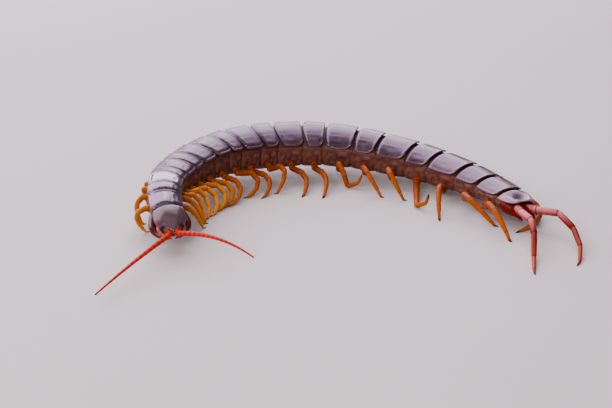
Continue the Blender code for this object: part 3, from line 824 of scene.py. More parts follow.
@dataclass
class Limb:
    """Round limb of articles along joints, narrower at each joint and rounded where it bends.

    Attributes:
        joints: Ends of the articles.
        radii: Radius at each end.
        profile: Share of the radius along an article.
        bright: Strength of the painted highlight on the upper side along the limb.
        rounding: Share of an article that each bend takes.
        band: Share of an article that the soft ring at each joint takes.
    """

    joints: list[Vector]
    radii: list[float]
    profile: Sizes = given({0.0: 0.80, 0.05: 0.90, 0.18: 0.97, 0.55: 1.02, 0.86: 1.05, 0.95: 1.0, 1.0: 0.80})
    bright: Sizes = given({0.0: 0.0, 1.0: 0.0})
    rounding: float = 0.14
    band: float = 0.07

    TRAITS = ("distance", "joint", "bright")
    SHARES = (0.0, 0.04, 0.09, 0.18, 0.38, 0.6, 0.8, 0.9, 0.96)
    SPINE = {0.0: 1.0, 0.45: 0.8, 0.8: 0.42, 1.0: 0.08}
    SPINE_SIDES = 7
    SPINE_VALUES = (0.99, 0.0, 0.0)

    def spot(self, article: int, share: float) -> Vector:
        """Point on the line, which is rounded near the joints.

        Args:
            article: Number of the article.
            share: How far along it.

        Returns:
            The point.
        """
        here, there = self.joints[article], self.joints[article + 1]
        for corner, near in ((article, share), (article + 1, 1 - share)):
            if near < self.rounding and 0 < corner < len(self.joints) - 1:
                before = self.joints[corner].lerp(self.joints[corner - 1], self.rounding)
                after = self.joints[corner].lerp(self.joints[corner + 1], self.rounding)
                turn = 0.5 + 0.5 * near / self.rounding * (1 if corner == article else -1)
                low, high = before.lerp(self.joints[corner], turn), self.joints[corner].lerp(after, turn)
                return low.lerp(high, turn)
        return here.lerp(there, share)

    def stops(self) -> list[Stop]:
        """Rings of the limb.

        Returns:
            All of them, in order.
        """
        total = sum((b - a).length for a, b in zip(self.joints, self.joints[1:]))
        marks = [(k, share) for k in range(len(self.joints) - 1) for share in self.SHARES]
        marks.append((len(self.joints) - 2, 1.0))
        spots = [self.spot(*mark) for mark in marks]
        result, run = [], 0.0
        for number, (article, share) in enumerate(marks):
            before, after = spots[max(number - 1, 0)], spots[min(number + 1, len(spots) - 1)]
            run += (spots[number] - spots[max(number - 1, 0)]).length
            radius = blend(self.radii[article], self.radii[article + 1], share) * along(self.profile, share)
            joint = max(1 - share / self.band, 1 - (1 - share) / self.band, 0.0)
            values = (run / total, joint, along(self.bright, run / total))
            result.append(Stop(spots[number], (after - before).normalized(), radius, values))
        return result

    def build(self, surface: Surface, sides: int = 16, fixed: Values | None = None) -> None:
        """Adds the limb to a surface, pressed flat on the floor where it would pass it.

        Args:
            surface: The surface to add to.
            sides: Points of each ring.
            fixed: Values of every point, in place of the limb's own.
        """
        stops = self.stops()
        upright = abs(stops[0].axis.z) >= 0.9
        side = (stops[0].axis.orthogonal() if upright else stops[0].axis.cross(UP)).normalized()
        rings, values = [], []
        for stop in stops:
            side = (side - stop.axis * side.dot(stop.axis)).normalized()
            other = stop.axis.cross(side)
            distance, joint, bright = stop.values
            ring, ring_values = [], []
            for turn in circle(sides):
                way = side * math.cos(turn) + other * math.sin(turn)
                ring.append(off_floor(stop.centre + stop.radius * way))
                # Painted highlight, strongest on the upper side of the ring.
                lit = bright * (0.25 + 0.75 * step(-0.3, 0.8, way.z))
                ring_values.append(fixed or (distance, joint, lit))
            rings.append(ring)
            values.append(ring_values)
        surface.tube(rings, lambda row, k: values[row][k])

    @classmethod
    def spine(cls, surface: Surface, root: Vector, way: Vector, length: float, radius: float) -> None:
        """Adds a short pointed spine.

        Args:
            surface: The surface to add to.
            root: Middle of its foot, inside what carries it.
            way: Direction of its tip.
            length: Length from the foot.
            radius: Radius at the foot.
        """
        way = way.normalized()
        side = way.orthogonal().normalized()
        other = way.cross(side)
        rings = []
        for share, size in cls.SPINE.items():
            centre = root + way * (length * share)
            ways = [side * math.cos(turn) + other * math.sin(turn) for turn in circle(cls.SPINE_SIDES)]
            rings.append([off_floor(centre + radius * size * out) for out in ways])
        surface.tube(rings, lambda row, k: cls.SPINE_VALUES)


# The body


@dataclass
class Body:
    """Line, frames and sizes of the animal's body.

    Attributes:
        head_front: Front of the head, seen from above.
        lengths: Lengths of the head and of each plate, in mm.
        headings: Backward heading at a few borders, in degrees.
        heights: Height of the back, in mm.
        widths: Width, in mm.
        depths: Depth from the back to the belly, in mm.
        rolls: Lean towards the inside of the bend, in degrees.
        head_roll: The same of the head.
        steps: Steps of the line in each length.
        line: Points of the line of the back.
    """

    head_front: Vector = field(default_factory=lambda: Vector((-47.08 * MM, -30.46 * MM, 0)))
    lengths: Values = (
        9.2, 6.5, 4.3, 7.7, 5.3, 7.9, 5.7, 7.8, 7.9, 6.0, 8.2,
        6.4, 8.6, 7.1, 9.7, 7.9, 10.9, 8.9, 11.8, 9.5, 11.2, 10.2,
    )
    headings: Sizes = given({
        0: 107, 2: 97, 4: 87, 6: 74, 8: 59, 10: 39, 12: 18, 14: -3, 16: -23, 18: -41, 20: -57, 22: -75,
    })
    heights: Sizes = given({
        0: 8.0, 1: 12.0, 3: 15.1, 6: 14.6, 9: 15.2, 12: 14.6, 14: 14.0, 16: 12.5, 18: 10.9, 20: 9.2, 22: 8.2,
    })
    widths: Sizes = given({
        1: 9.2, 2: 9.8, 4: 10.3, 7: 12.2, 10: 13.8, 15: 14.0, 18: 12.9, 20: 11.2, 21: 10.1, 22: 7.5,
    })
    depths: Sizes = given({1: 6.2, 4: 7.5, 8: 10.8, 12: 11.4, 15: 10.5, 18: 9.1, 20: 6.8, 22: 4.7})
    rolls: Sizes = given({1: 0, 4: 7, 8: 6, 11: 14, 14: 16, 17: 10, 20: 3, 22: 2})
    head_roll: float = -4.0
    steps: int = 40
    line: list[Vector] = field(init=False)

    def __post_init__(self) -> None:
        """Draws the line of the back."""
        point = self.head_front.copy()
        self.line = []
        for number in range(TAIL_END * self.steps + 1):
            place = number / self.steps
            self.line.append(Vector((point.x, point.y, along(self.heights, place) * MM)))
            if number < TAIL_END * self.steps:
                middle = place + 0.5 / self.steps
                heading = math.radians(along(self.headings, middle))
                run = self.lengths[int(middle)] * MM / self.steps
                point += run * Vector((math.cos(heading), math.sin(heading), 0))

    def back(self, place: float) -> Vector:
        """Point on the line of the back, which runs straight on past its ends.

        Args:
            place: Place along the body, in borders.

        Returns:
            The point.
        """
        number = place * self.steps
        index = min(max(int(number), 0), len(self.line) - 2)
        first, second = self.line[index], self.line[index + 1]
        return first + (second - first) * (number - index)

    def width(self, place: float) -> float:
        """Full width."""
        return along(self.widths, place) * MM

    def depth(self, place: float) -> float:
        """Height from the belly to the line of the back."""
        return along(self.depths, place) * MM

    def length(self, place: float) -> float:
        """Length of the plate or head at a place."""
        return self.lengths[min(int(place), LAST_PLATE)] * MM

    def frame(self, place: float) -> Matrix:
        """Frame of the body's section.

        Args:
            place: Place along the body, in borders.

        Returns:
            Matrix with the columns forwards, left and up, from the line of the back.
        """
        reach = 0.25
        ends = min(max(place, reach), TAIL_END - reach)
        forward = (self.back(ends - reach) - self.back(ends + reach)).normalized()
        left = UP.cross(forward).normalized()
        left = Matrix.Rotation(-math.radians(along(self.rolls, place)), 3, forward) @ left
        return pose(self.back(place), forward, left, forward.cross(left))

    def head(self) -> Matrix:
        """Frame of the head, from the middle of border 1."""
        forward = (self.back(0) - self.back(1)).normalized()
        left = Matrix.Rotation(-math.radians(self.head_roll), 3, forward) @ UP.cross(forward).normalized()
        return pose(self.back(1), forward, left, forward.cross(left))

    def head_spot(self, side: Side, ahead: float, out: float, rise: float) -> Vector:
        """Point at distances from the middle of border 1 in the head's frame, in mm."""
        return self.head() @ Vector((ahead * MM, side.value * out * MM, rise * MM))

    def spot(self, place: float, side: Side, across: float, rise: float) -> Vector:
        """Point in the section, from its shares of the width and of the depth."""
        out = side.value * self.width(place) * across
        return self.frame(place) @ Vector((0, out, self.depth(place) * rise))


@dataclass
class Part:
    """Whatever is placed from the animal's body."""

    body: Body

    def build(self) -> None:
        """Builds all of it."""
        raise NotImplementedError


@dataclass
class BackPlates(Part):
    """The plates along the back.

    Attributes:
        width_share: Width as a share of the body's.
        drops: How far the edges hang at a few borders, as a share of the width.
        droop: Power of the width that they hang with.
        thick: Thickness.
        lift: Height over the line of the back.
        lean: Outward lean of the thickness at the edges.
        rows: Rows of points along a plate.
        columns: Columns across it.
        ends: Front and rear edge, as shares of the plate's length.
        plain: Outline of the front plates: half width as a share of the greatest, along the plate.
        notched: Outline of the plates with cut-back rear corners.
        first_notched: The first of these.
        tail: Outline of the tail plate.
        lag: How far the front corners of a plate lie back, in mm, at a few plates.
        waves: Sizes and heights of the slight unevenness, in mm.
        tuck: How far the front edge dips under the plate before, in mm.
        tuck_run: Length of that slope.
        rear_rise: Rise of the surface towards the rear edge.
        rear_groove: Depth of the fine line before the rear edge.
        side_groove: Depth of the line along the sides.
        side_line: Distance of that line from the edge, and its half width.
        suture: Place of the two fine grooves, as a share of the half width, and their half width.
        suture_depth: Their depth.
        crown: Height of the low ridge along the middle.
        dent: The shallow dents beside the middle.
        tail_dent: The dent in the tail plate.
        tail_keel: The fine ridge in it.
        tail_side: Height of the swellings along its sides.
        tail_shade: Painted shade in that dent.
        edge: Radius of the rounded rim.
        rim: Width of the rim's colour along the sides.
        rear_rim: The same along the rear edge.
        shadow: Length of the painted shade at the front edge of a few plates, in mm.
    """

    width_share: float = 0.985
    drops: Sizes = given({1: 0.20, 6: 0.15, 12: 0.11, 17: 0.15})
    droop: float = 2.3
    thick: float = 0.46 * MM
    lift: float = 0.06 * MM
    lean: float = 0.45
    rows: int = 30
    columns: int = 50
    ends: Pair = (0.012, 0.985)
    plain: Sizes = given({0.0: 0.84, 0.05: 0.93, 0.16: 0.99, 0.5: 1.0, 0.9: 0.985, 0.96: 0.955, 1.0: 0.86})
    notched: Sizes = given({0.0: 0.76, 0.05: 0.90, 0.16: 0.99, 0.6: 1.0, 0.84: 0.955, 0.94: 0.88, 1.0: 0.72})
    first_notched: int = 11
    tail: Sizes = given({0.0: 0.80, 0.07: 0.93, 0.2: 1.0, 0.58: 0.98, 0.82: 0.84, 0.94: 0.66, 1.0: 0.42})
    lag: Sizes = given({1: 0.0, 3: 0.1, 5: 0.5, 8: 0.9, 13: 0.8, 17: 0.35, 21: 0.2})
    waves: Rows = ((3.1, 0.03), (0.9, 0.006))
    tuck: Sizes = given({1: 0.30, 6: 0.50})
    tuck_run: float = 1.5 * MM
    rear_rise: float = 0.17 * MM
    rear_groove: float = 0.07 * MM
    side_groove: float = 0.10 * MM
    side_line: Pair = (0.75 * MM, 0.30 * MM)
    suture: Pair = (0.27, 0.018)
    suture_depth: float = 0.085 * MM
    crown: float = 0.06 * MM
    dent: Swell = Swell(-0.10 * MM, (0.55, 0.14), (0.45, 0.28))
    tail_dent: Swell = Swell(-1.05 * MM, (0.0, 0.42), (0.58, 0.22))
    tail_keel: Swell = Swell(0.10 * MM, (0.0, 0.045), (0.5, 0.3))
    tail_side: float = 0.22 * MM
    tail_shade: Swell = Swell(0.9, (0.0, 0.50), (0.58, 0.28))
    edge: float = 0.34 * MM
    rim: float = 0.55 * MM
    rear_rim: float = 0.35 * MM
    shadow: Sizes = given({2: 0.25, 5: 0.65})

    def outline(self, plate: int, share: float) -> float:
        """Half width of a plate as a share of its greatest, at a share of its length."""
        sizes = self.notched if plate >= self.first_notched else self.plain
        return along(self.tail if plate == LAST_PLATE else sizes, share)

    def inwards(self, plate: int, across: float) -> float:
        """Distance from the side of a plate at a share of the half width."""
        return (1 - abs(across)) * self.body.width(plate) / 2

    def relief(self, plate: int, across: float, share: float, spot: Vector) -> float:
        """Height of the fine shape of a plate over its plain dome.

        Args:
            plate: Number of the plate.
            across: Share of the half width.
            share: Share of the length.
            spot: The point itself.

        Returns:
            The height there.
        """
        out = abs(across)
        dip = along(self.tuck, plate) * MM
        height = uneven(spot, self.waves)
        height -= dip * (1 - step(0.0, self.tuck_run, share * self.body.length(plate)))
        height += self.rear_rise * step(0.82, 0.96, share)
        height -= self.rear_groove * hump(share, 0.90, 0.035) * (1 - step(0.86, 0.97, out))
        height -= self.side_groove * hump(self.inwards(plate, across), *self.side_line)
        if plate == LAST_PLATE:
            height += self.tail_dent.at(across, share) + self.tail_keel.at(across, share)
            return height + self.tail_side * hump(out, 0.74, 0.16) * step(0.15, 0.45, share)
        middle, half = self.suture
        groove = hump(out, middle + 0.05 * share, half) * step(0.04, 0.16, share)
        height -= self.suture_depth * groove * (1 - step(0.88, 0.97, share))
        return height + self.crown * hump(across, 0.0, 0.16) + self.dent.at(out, share)

    def add(self, surface: Surface, plate: int) -> None:
        """Adds one plate to a surface.

        Args:
            surface: The surface to add to.
            plate: Number of the plate.
        """
        body = self.body
        across, shares = from_side_to_side(self.columns), from_end_to_end(self.rows)
        start, end = self.ends
        places = [blend(plate + start, plate + end, share) for share in shares]
        frames = [body.frame(at) for at in places]

        def edge_share(row: int, column: int) -> float:
            """Distance to the edge, as a share of the rounding of the rim."""
            run = min(shares[row], 1 - shares[row]) * body.length(plate)
            return min(run, self.inwards(plate, across[column])) / self.edge

        def place(row: int, column: int, face: float) -> Vector:
            """Point of the upper or lower sheet."""
            at, share, out = places[row], shares[row], across[column]
            outline = self.outline(plate, share)
            half = body.width(at) / 2 * self.width_share * outline
            hang = along(self.drops, at) * body.width(at) * (abs(out) * outline) ** self.droop
            lag = MM * along(self.lag, plate) * (0.35 + out**2) * (1 - share) ** 2
            flat = frames[row] @ Vector((-lag, half * out, -hang))
            height = self.thick / 2 * (face * rounded(edge_share(row, column)) - 1) + self.lift
            height += self.relief(plate, out, share, flat) * (1.0 if face > 0 else 0.85)
            up = frames[row].to_3x3() @ Vector((0, self.lean * out * abs(out), 1)).normalized()
            return flat + up * height

        def value(row: int, column: int) -> Values:
            """Rim and painted shade values."""
            share, out = shares[row], across[column]
            run = (1 - share) * body.length(plate)
            rim = max(1 - self.inwards(plate, out) / self.rim, 0.7 * (1 - run / self.rear_rim), 0.0)
            # Painted shade along the front edge of the plate, where it tucks under the plate before.
            gap = along(self.shadow, plate) * MM
            painted_shade = 1.0 - step(0.02 * MM, gap, share * body.length(plate))
            if plate == LAST_PLATE:
                # The tail plate's dent is darkened with painted shade.
                painted_shade = max(painted_shade, self.tail_shade.at(out, share))
                # Its outer part takes that rim colour too, a painted reflection.
                rim = max(rim, step(0.40, 0.75, max(abs(out), share)) * (1 - painted_shade))
            return (rim, min(painted_shade, 1.0))

        surface.plate(self.rows, self.columns, place, value)

    def build(self) -> None:
        """Builds all plates, three to a piece, and the tail plate on its own."""
        for first in range(1, LAST_PLATE, 3):
            surface = Surface(("rim", "painted_shade"))
            last = min(first + 2, LAST_PLATE - 1)
            for plate in range(first, last + 1):
                self.add(surface, plate)
            finish = FRONT_SHELL if first == 1 else BACK_SHELL
            surface.piece(f"back_plates_{first:02d}_{last:02d}", finish, "back_plates")
        tail = Surface(("rim", "painted_shade"))
        self.add(tail, LAST_PLATE)
        tail.piece("tail_plate", TAIL_SHELL, "back_plates")


@dataclass
class BellyPlates(Part):
    """The plates under the belly.

    Attributes:
        width_share: Width as a share of the body's.
        thick: Thickness.
        rows: Rows of points along a plate.
        columns: Columns across it.
        ends: Front and rear edge, as shares of the plate's length.
        corner: How far the corners are cut back, as a share of the width.
        taper: Narrowing towards the rear.
        tail_taper: The same of the last plate.
        edge: Width of the rounded rim, as a share of the half width.
        rim: Width of the rim's colour.
        curl: Rise of the sides.
        groove: The two grooves along a plate.
    """

    width_share: float = 0.56
    thick: float = 0.5 * MM
    rows: int = 18
    columns: int = 26
    ends: Pair = (0.06, 0.94)
    corner: float = 0.16
    taper: float = 0.1
    tail_taper: float = 0.35
    edge: float = 0.12
    rim: float = 0.14
    curl: float = 0.25 * MM
    groove: Swell = Swell(0.09 * MM, (0.42, 0.04), (0.5, 0.34))

    def add(self, surface: Surface, plate: int) -> None:
        """Adds one plate to a surface.

        Args:
            surface: The surface to add to.
            plate: Number of the plate.
        """
        body = self.body
        across, shares = from_side_to_side(self.columns), from_end_to_end(self.rows)
        places = [plate + blend(*self.ends, share) for share in shares]
        frames = [body.frame(at) for at in places]
        taper = self.tail_taper if plate == LAST_PLATE else self.taper

        def inwards(row: int, column: int) -> float:
            """Distance from the nearest edge, as a share of the half size."""
            return min(1 - abs(across[column]), 2 * min(shares[row], 1 - shares[row]))

        def place(row: int, column: int, face: float) -> Vector:
            """Point of the upper or lower sheet."""
            at, share, out = places[row], shares[row], across[column]
            corner = 1 - self.corner * (2 * abs(share - 0.5)) ** 6 - taper * share**2
            half = body.width(at) / 2 * self.width_share * corner
            low = -body.depth(at) - 0.02 * MM + self.curl * out**4 + self.groove.at(abs(out), share)
            low -= self.thick / 2 * rounded(inwards(row, column) / self.edge) * face
            return frames[row] @ Vector((0, half * out, low))

        def value(row: int, column: int) -> Values:
            """Rim value, with no painted shade."""
            return (max(1 - inwards(row, column) / self.rim, 0.0), 0.0)

        surface.plate(self.rows, self.columns, place, value)

    def build(self) -> None:
        """Builds all plates as one piece."""
        surface = Surface(("rim", "painted_shade"))
        for plate in range(1, LAST_PLATE + 1):
            self.add(surface, plate)
        surface.piece("belly_plates", BELLY_SHELL, "back_plates")


@dataclass
class Flanks(Part):
    """The soft skin of the trunk, in one closed surface from the head to the tail.

    Attributes:
        width_share: Width as a share of the body's.
        squareness: Power of the squared oval of its section.
        top: Distance from the line of the back down to it.
        tail_top: How much further down it lies under the tail plate.
        tail_taper: Narrowing towards the tail's end, as a share of the width.
        waist: Narrowing at the borders, as a share of the size.
        rings: Rings in each segment.
        sides: Points of each ring.
        front_ends: Place and size of the rings that close it at the head.
        rear_ends: The same at the tail.
        cushions: Hard cushions of a flank: middle along the segment and down, then half sizes.
        cushion_height: Height of the cushions.
        drift: How far grain shifts them along the segment and down, and its sizes.
        border_depth: Depth of the fine crease at each border, and its half width in the segment.
        furrow_depth: The same of the broad furrow there.
        waves: Sizes and heights of the fine unevenness, in mm.
        leg_base: The swelling that carries a leg, along the segment and down.
        leg_reach: Middle and half width along the segment of what the leg hides.
        margin: Middle and half width down the flank of the painted highlight between the legs.
        air_holes: Segments that have breathing holes.
        air_hole: A breathing hole.
        air_rim: The swelling round it.
    """

    width_share: float = 0.94
    squareness: float = 3.0
    top: float = 0.8 * MM
    tail_top: float = 0.9 * MM
    tail_taper: float = 0.2
    waist: float = 0.038
    rings: int = 26
    sides: int = 84
    front_ends: Rows = ((1.0, 0.30), (1.0, 0.72))
    rear_ends: Rows = ((22.05, 0.80), (22.12, 0.55), (22.15, 0.22))
    cushions: Rows = (
        (0.30, 0.44, 0.19, 0.085), (0.72, 0.36, 0.20, 0.075), (0.60, 0.53, 0.13, 0.070),
        (0.90, 0.52, 0.10, 0.090), (0.12, 0.60, 0.13, 0.080), (0.38, 0.64, 0.12, 0.075),
        (0.84, 0.68, 0.13, 0.070), (0.57, 0.77, 0.17, 0.110), (0.16, 0.78, 0.12, 0.070),
        (0.04, 0.42, 0.07, 0.100),
    )
    cushion_height: float = 0.22 * MM
    drift: Values = (0.055, 0.035, 2.1 * MM, 1.6 * MM)
    border_depth: Pair = (0.06 * MM, 0.035)
    furrow_depth: Pair = (0.16 * MM, 0.05)
    waves: Rows = ((0.9, 0.07), (0.32, 0.045))
    leg_base: Swell = Swell(0.30 * MM, (0.55, 0.15), (0.79, 0.10))
    leg_reach: Pair = (0.55, 0.22)
    margin: Pair = (0.885, 0.035)
    air_holes: tuple[int, ...] = (3, 5, 8, 10, 12, 14, 16, 18, 20)
    air_hole: Swell = Swell(-0.30 * MM, (0.30, 0.035), (0.44, 0.03))
    air_rim: Swell = Swell(0.10 * MM, (0.30, 0.075), (0.44, 0.06))

    @staticmethod
    def near_border(share: float, width: float) -> float:
        """Bells of a half width at both borders of a segment."""
        return max(hump(share, 0.0, width), hump(share, 1.0, width))

    def cushion(self, share: float, down: float, spot: Vector) -> Pair:
        """Cushions of the flank.

        Args:
            share: Place in the segment.
            down: Share of the depth from the back to the belly.
            spot: The point itself.

        Returns:
            Share of a cushion's height there, and the shifted place in the segment.
        """
        onward, deeper, size, other = self.drift
        run = share + onward * grain(spot, size)
        sink = down + deeper * grain(spot + Vector((0.02, 0.0, 0.0)), other)
        near = min(math.hypot((run - s) / w, (sink - d) / h) for s, d, w, h in self.cushions)
        return 1 - step(0.55, 1.15, near), run

    def shape(self, place: float, down: float, spot: Vector) -> Values:
        """Fine shape of the flank.

        Args:
            place: Place along the body.
            down: Share of the depth from the back to the belly.
            spot: The point itself.

        Returns:
            Height over the plain section, then the painted shade, cushion and painted highlight values.
        """
        share = place % 1.0
        flank = step(0.16, 0.28, down) * (1 - step(0.88, 0.97, down))
        cushion, run = self.cushion(share, down, spot)
        depth, width = self.border_depth
        border = self.near_border(run, width)
        height = flank * (self.cushion_height * cushion - depth * border + uneven(spot, self.waves))
        depth, width = self.furrow_depth
        height += self.leg_base.at(share, down) - depth * self.near_border(share, width)
        # Painted shade between the cushions and at the borders.
        fold = min(1.0, flank * (1 - cushion) * 0.5 + 0.22 * border)
        # Painted shade along the top of the skin, under the plates.
        fold = max(fold, 1 - step(0.13, 0.24, down))
        if int(place) in self.air_holes:
            height += self.air_hole.at(share, down) + self.air_rim.at(share, down)
            # Painted shade in the breathing hole.
            fold = max(fold, self.air_hole.cover(share, down))
        # Painted highlight along the lower flank, away from the leg roots.
        margin = hump(down, *self.margin) * (1 - hump(share, *self.leg_reach))
        return height, fold, flank * cushion, 0.8 * margin

    def ring(self, place: float, size: float) -> tuple[list[Vector], list[Values]]:
        """One ring of the skin.

        Args:
            place: Place along the body.
            size: Size of the ring against its full size.

        Returns:
            Its points and their values.
        """
        body, frame = self.body, self.body.frame(place)
        turned = frame.to_3x3()
        narrow = 1 - self.waist
        if place < TAIL_END:
            narrow += self.waist * math.sin(math.pi * (place % 1.0)) ** 0.6
        taper = 1 - self.tail_taper * step(21.2, 22.0, place)
        half = body.width(place) / 2 * self.width_share * narrow * size * taper
        top = self.top + self.tail_top * step(21.25, 21.55, place)
        deep = (body.depth(place) - top) / 2 * narrow * size
        middle = -(body.depth(place) + top) / 2
        points, values = [], []
        for turn in circle(self.sides, 0.5):
            across, rise = squared(turn, self.squareness)
            spot = frame @ Vector((0, half * across, middle + deep * rise))
            height, *traits = self.shape(min(place, TAIL_END - 0.001), (1 - rise) / 2, spot)
            outwards = (turned @ Vector((0, across / half, rise / deep))).normalized()
            points.append(spot + outwards * height * size)
            values.append(tuple(traits))
        return points, values

    def build(self) -> None:
        """Builds the skin, which stands for all lengths of trunk."""
        places = [1.0 + k / self.rings for k in range(LAST_PLATE * self.rings + 1)]
        marks = [*self.front_ends, *((place, 1.0) for place in places), *self.rear_ends]
        rings, values = zip(*(self.ring(*mark) for mark in marks))
        surface = Surface(("fold", "cushion", "margin"))
        surface.tube(rings, lambda row, k: values[row][k])
        surface.piece("flanks", FLANK_SKIN, "back_plates", *(f"trunk_{k}" for k in range(1, 8)))


# Legs

# Feet of the walking legs, pair by pair. Each row says how far the foot lies outwards and
# backwards from the hip, in mm, how far the knee leans forwards or back, in degrees, and how
# far it splays outwards.
LEFT_FEET = (
    (6.2, 6.6, 30, 0), (6.2, 6.1, 40, 0), (6.0, 4.4, 45, 0), (6.1, 1.8, 45, 0),
    (6.5, -1.5, 50, 0), (6.3, -3.8, 50, 0), (6.2, -6.0, 54, 0), (8.8, -8.4, 70, 0.6),
    (8.7, -3.8, 75, 0.9), (13.0, -4.1, 80, 0.8), (12.2, -2.4, 45, 1.6), (17.4, 0.1, 75, 0.6),
    (19.0, 2.9, 65, 0.4), (8.8, 4.6, 20, 1.6), (13.2, 10.7, -30, 0), (11.2, 10.7, -30, 0),
    (15.0, 11.6, 0, 0), (15.3, 14.0, -10, 0), (4.7, 19.4, 35, 0.9), (5.8, 22.0, 50, 0.4),
)
RIGHT_FEET = (
    (0.3, 6.0, 30, 2), (1.4, 7.0, 45, 2), (0.2, 11.8, 80, 0.2), (-0.4, 12.4, 80, 0.2),
    (-0.8, 13.0, 80, 0.4), (0.4, 12.6, 70, 0.7), (2.6, 14.0, 70, 0.7), (5.0, 12.6, 60, 0.6),
    (9.0, 9.4, 40, 0.8), (11.5, 5.5, 20, 1), (12.5, 1.5, 0, 1), (12.8, -1.5, 0, 1),
    (12.6, -4.0, 60, 1.2), (12.0, -6.5, 90, 1.2), (11.2, -9.0, 90, 1.5), (9.6, -12.5, 90, 1.5),
    (8.0, -14.5, 90, 1.5), (6.6, -16.5, 90, 1.5), (5.4, -17.5, 90, 1.5), (-10.5, 17.2, 96, 1.0),
)


@dataclass
class WalkingLegs(Part):
    """The twenty pairs of walking legs.

    Attributes:
        lengths: Length of a leg at a few pairs, in mm.
        thickness: Thickness at a few pairs, against a leg in the middle.
        shares: Lengths of the articles as shares of the leg.
        bends: Bend at each joint against the others.
        most_bend: The strongest bend, in radians.
        radii: Radii at the ends of the articles of a middle leg, from inside the flank, in mm.
        tip_radius: Radius at the tip of the claw.
        claw: Length of the claw.
        root_place: Place of a leg's root in its segment.
        root_inner: Inner end of the hip, in shares of the width and depth.
        root_outer: Its outer end.
        socket: How far the hip goes on past that end.
        sweep: Turn of the hip towards the foot.
        sweep_most: The most that it turns.
        foot_heights: Heights of the last joint and of the tip of the claw over the floor.
        curled: Legs that lie curled on a knee, with the rise of their last article, in degrees.
        spurs: Joints that carry a spur, and the side that it points to.
        spur: Length and radius of a spur on a middle leg, in mm.
    """

    lengths: Sizes = given({1: 12.5, 5: 15.6, 9: 16.2, 11: 17.4, 13: 20.2, 16: 21.2, 20: 23.8})
    thickness: Sizes = given({1: 0.88, 5: 0.93, 10: 1.0, 16: 1.08, 20: 1.2})
    shares: Values = (0.06, 0.26, 0.22, 0.20, 0.16, 0.10)
    bends: Values = (0.35, 1.0, 0.9, 0.6, 0.4)
    most_bend: float = 1.4
    radii: Values = (1.45, 1.02, 0.95, 0.86, 0.78, 0.66, 0.50, 0.34)
    tip_radius: float = 0.09 * MM
    claw: float = 1.1 * MM
    root_place: float = 0.55
    root_inner: Pair = (0.26, -0.66)
    root_outer: Pair = (0.505, -0.74)
    socket: float = 0.3 * MM
    sweep: float = 0.12
    sweep_most: float = 1.7 * MM
    foot_heights: Pair = (0.13 * MM, 0.05 * MM)
    curled: dict[tuple[Side, int], float] = given({(Side.LEFT, 14): 62, (Side.LEFT, 17): 68})
    spurs: tuple[tuple[int, int], ...] = ((5, 1), (5, -1), (6, 0))
    spur: Pair = (0.62, 0.11)

    def chain(self, root: Vector, foot: Vector, lengths: list[float], knee: Vector) -> list[Vector]:
        """Ends of linked articles from root to foot, with the shape of bends of all legs.

        Args:
            root: Where the first starts.
            foot: Where the last ends.
            lengths: Lengths of the articles.
            knee: The way that the knee points.

        Returns:
            All ends, the root first.
        """
        reach = (foot - root).length

        def spread(scale: float) -> list[Pair]:
            """Ends in the plane of the leg."""
            across = rise = turn = 0.0
            ends = [(0.0, 0.0)]
            for length, bend in zip(lengths, self.bends):
                turn -= scale * bend
                across += length * math.cos(turn)
                rise += length * math.sin(turn)
                ends.append((across, rise))
            return ends

        low, high = 0.0, self.most_bend
        for _ in range(40):
            scale = (low + high) / 2
            low, high = (scale, high) if math.hypot(*spread(scale)[-1]) > reach else (low, scale)
        ends = spread(scale)
        chord = (foot - root).normalized()
        bulge = (knee - chord * knee.dot(chord)).normalized()
        turn = -math.atan2(ends[-1][1], ends[-1][0])
        places = []
        for across, rise in ends:
            forward = across * math.cos(turn) - rise * math.sin(turn)
            outward = across * math.sin(turn) + rise * math.cos(turn)
            places.append(root + chord * forward + bulge * outward)
        return places

    def joints(self, pair: int, side: Side) -> list[Vector]:
        """Ends of a leg's articles.

        Args:
            pair: Number of the pair.
            side: Side of the animal.

        Returns:
            The ends, from inside the flank to the tip of the claw.
        """
        body, place = self.body, pair + self.root_place
        out, back, lean, splay = (LEFT_FEET if side is Side.LEFT else RIGHT_FEET)[pair - 1]
        frame = body.frame(place)
        forward, left = frame.col[0].xyz, frame.col[1].xyz
        ahead = Vector((forward.x, forward.y, 0)).normalized()
        sideways = side.value * Vector((left.x, left.y, 0)).normalized()
        inner = body.spot(place, side, *self.root_inner)
        outer = body.spot(place, side, *self.root_outer)
        foot = outer + MM * (out * sideways - back * ahead)
        foot.z = self.foot_heights[0]
        outer -= max(-self.sweep_most, min(self.sweep * back * MM, self.sweep_most)) * forward
        axis = (outer - inner).normalized()
        spans = [share * along(self.lengths, pair) * MM for share in self.shares]
        hip = [inner, outer + self.socket * axis]
        start = outer + (self.socket + spans[0]) * axis
        tilt = math.radians(lean)
        knee = math.cos(tilt) * UP - math.sin(tilt) * ahead + splay * sideways
        if (side, pair) in self.curled:
            tilt = self.curled[side, pair]
            foot.z = 0.8 * self.radii[5] * MM * self.scale(pair)
            ends = self.chain(start, foot, spans[1:4], knee)
            for span, rise in ((spans[4], 0.35 * tilt), (spans[5], tilt), (self.claw, tilt + 12)):
                turn = math.radians(rise)
                ends.append(ends[-1] + span * (math.sin(turn) * UP - math.cos(turn) * ahead))
            return hip + ends
        ends = self.chain(start, foot, spans[1:], knee)
        onward = ends[-1] - ends[-2]
        tip = ends[-1] + self.claw * Vector((onward.x, onward.y, 0)).normalized()
        tip.z = self.foot_heights[1]
        return hip + ends + [tip]

    def scale(self, pair: int) -> float:
        """Thickness of a pair, against the legs in the middle."""
        return along(self.thickness, pair)

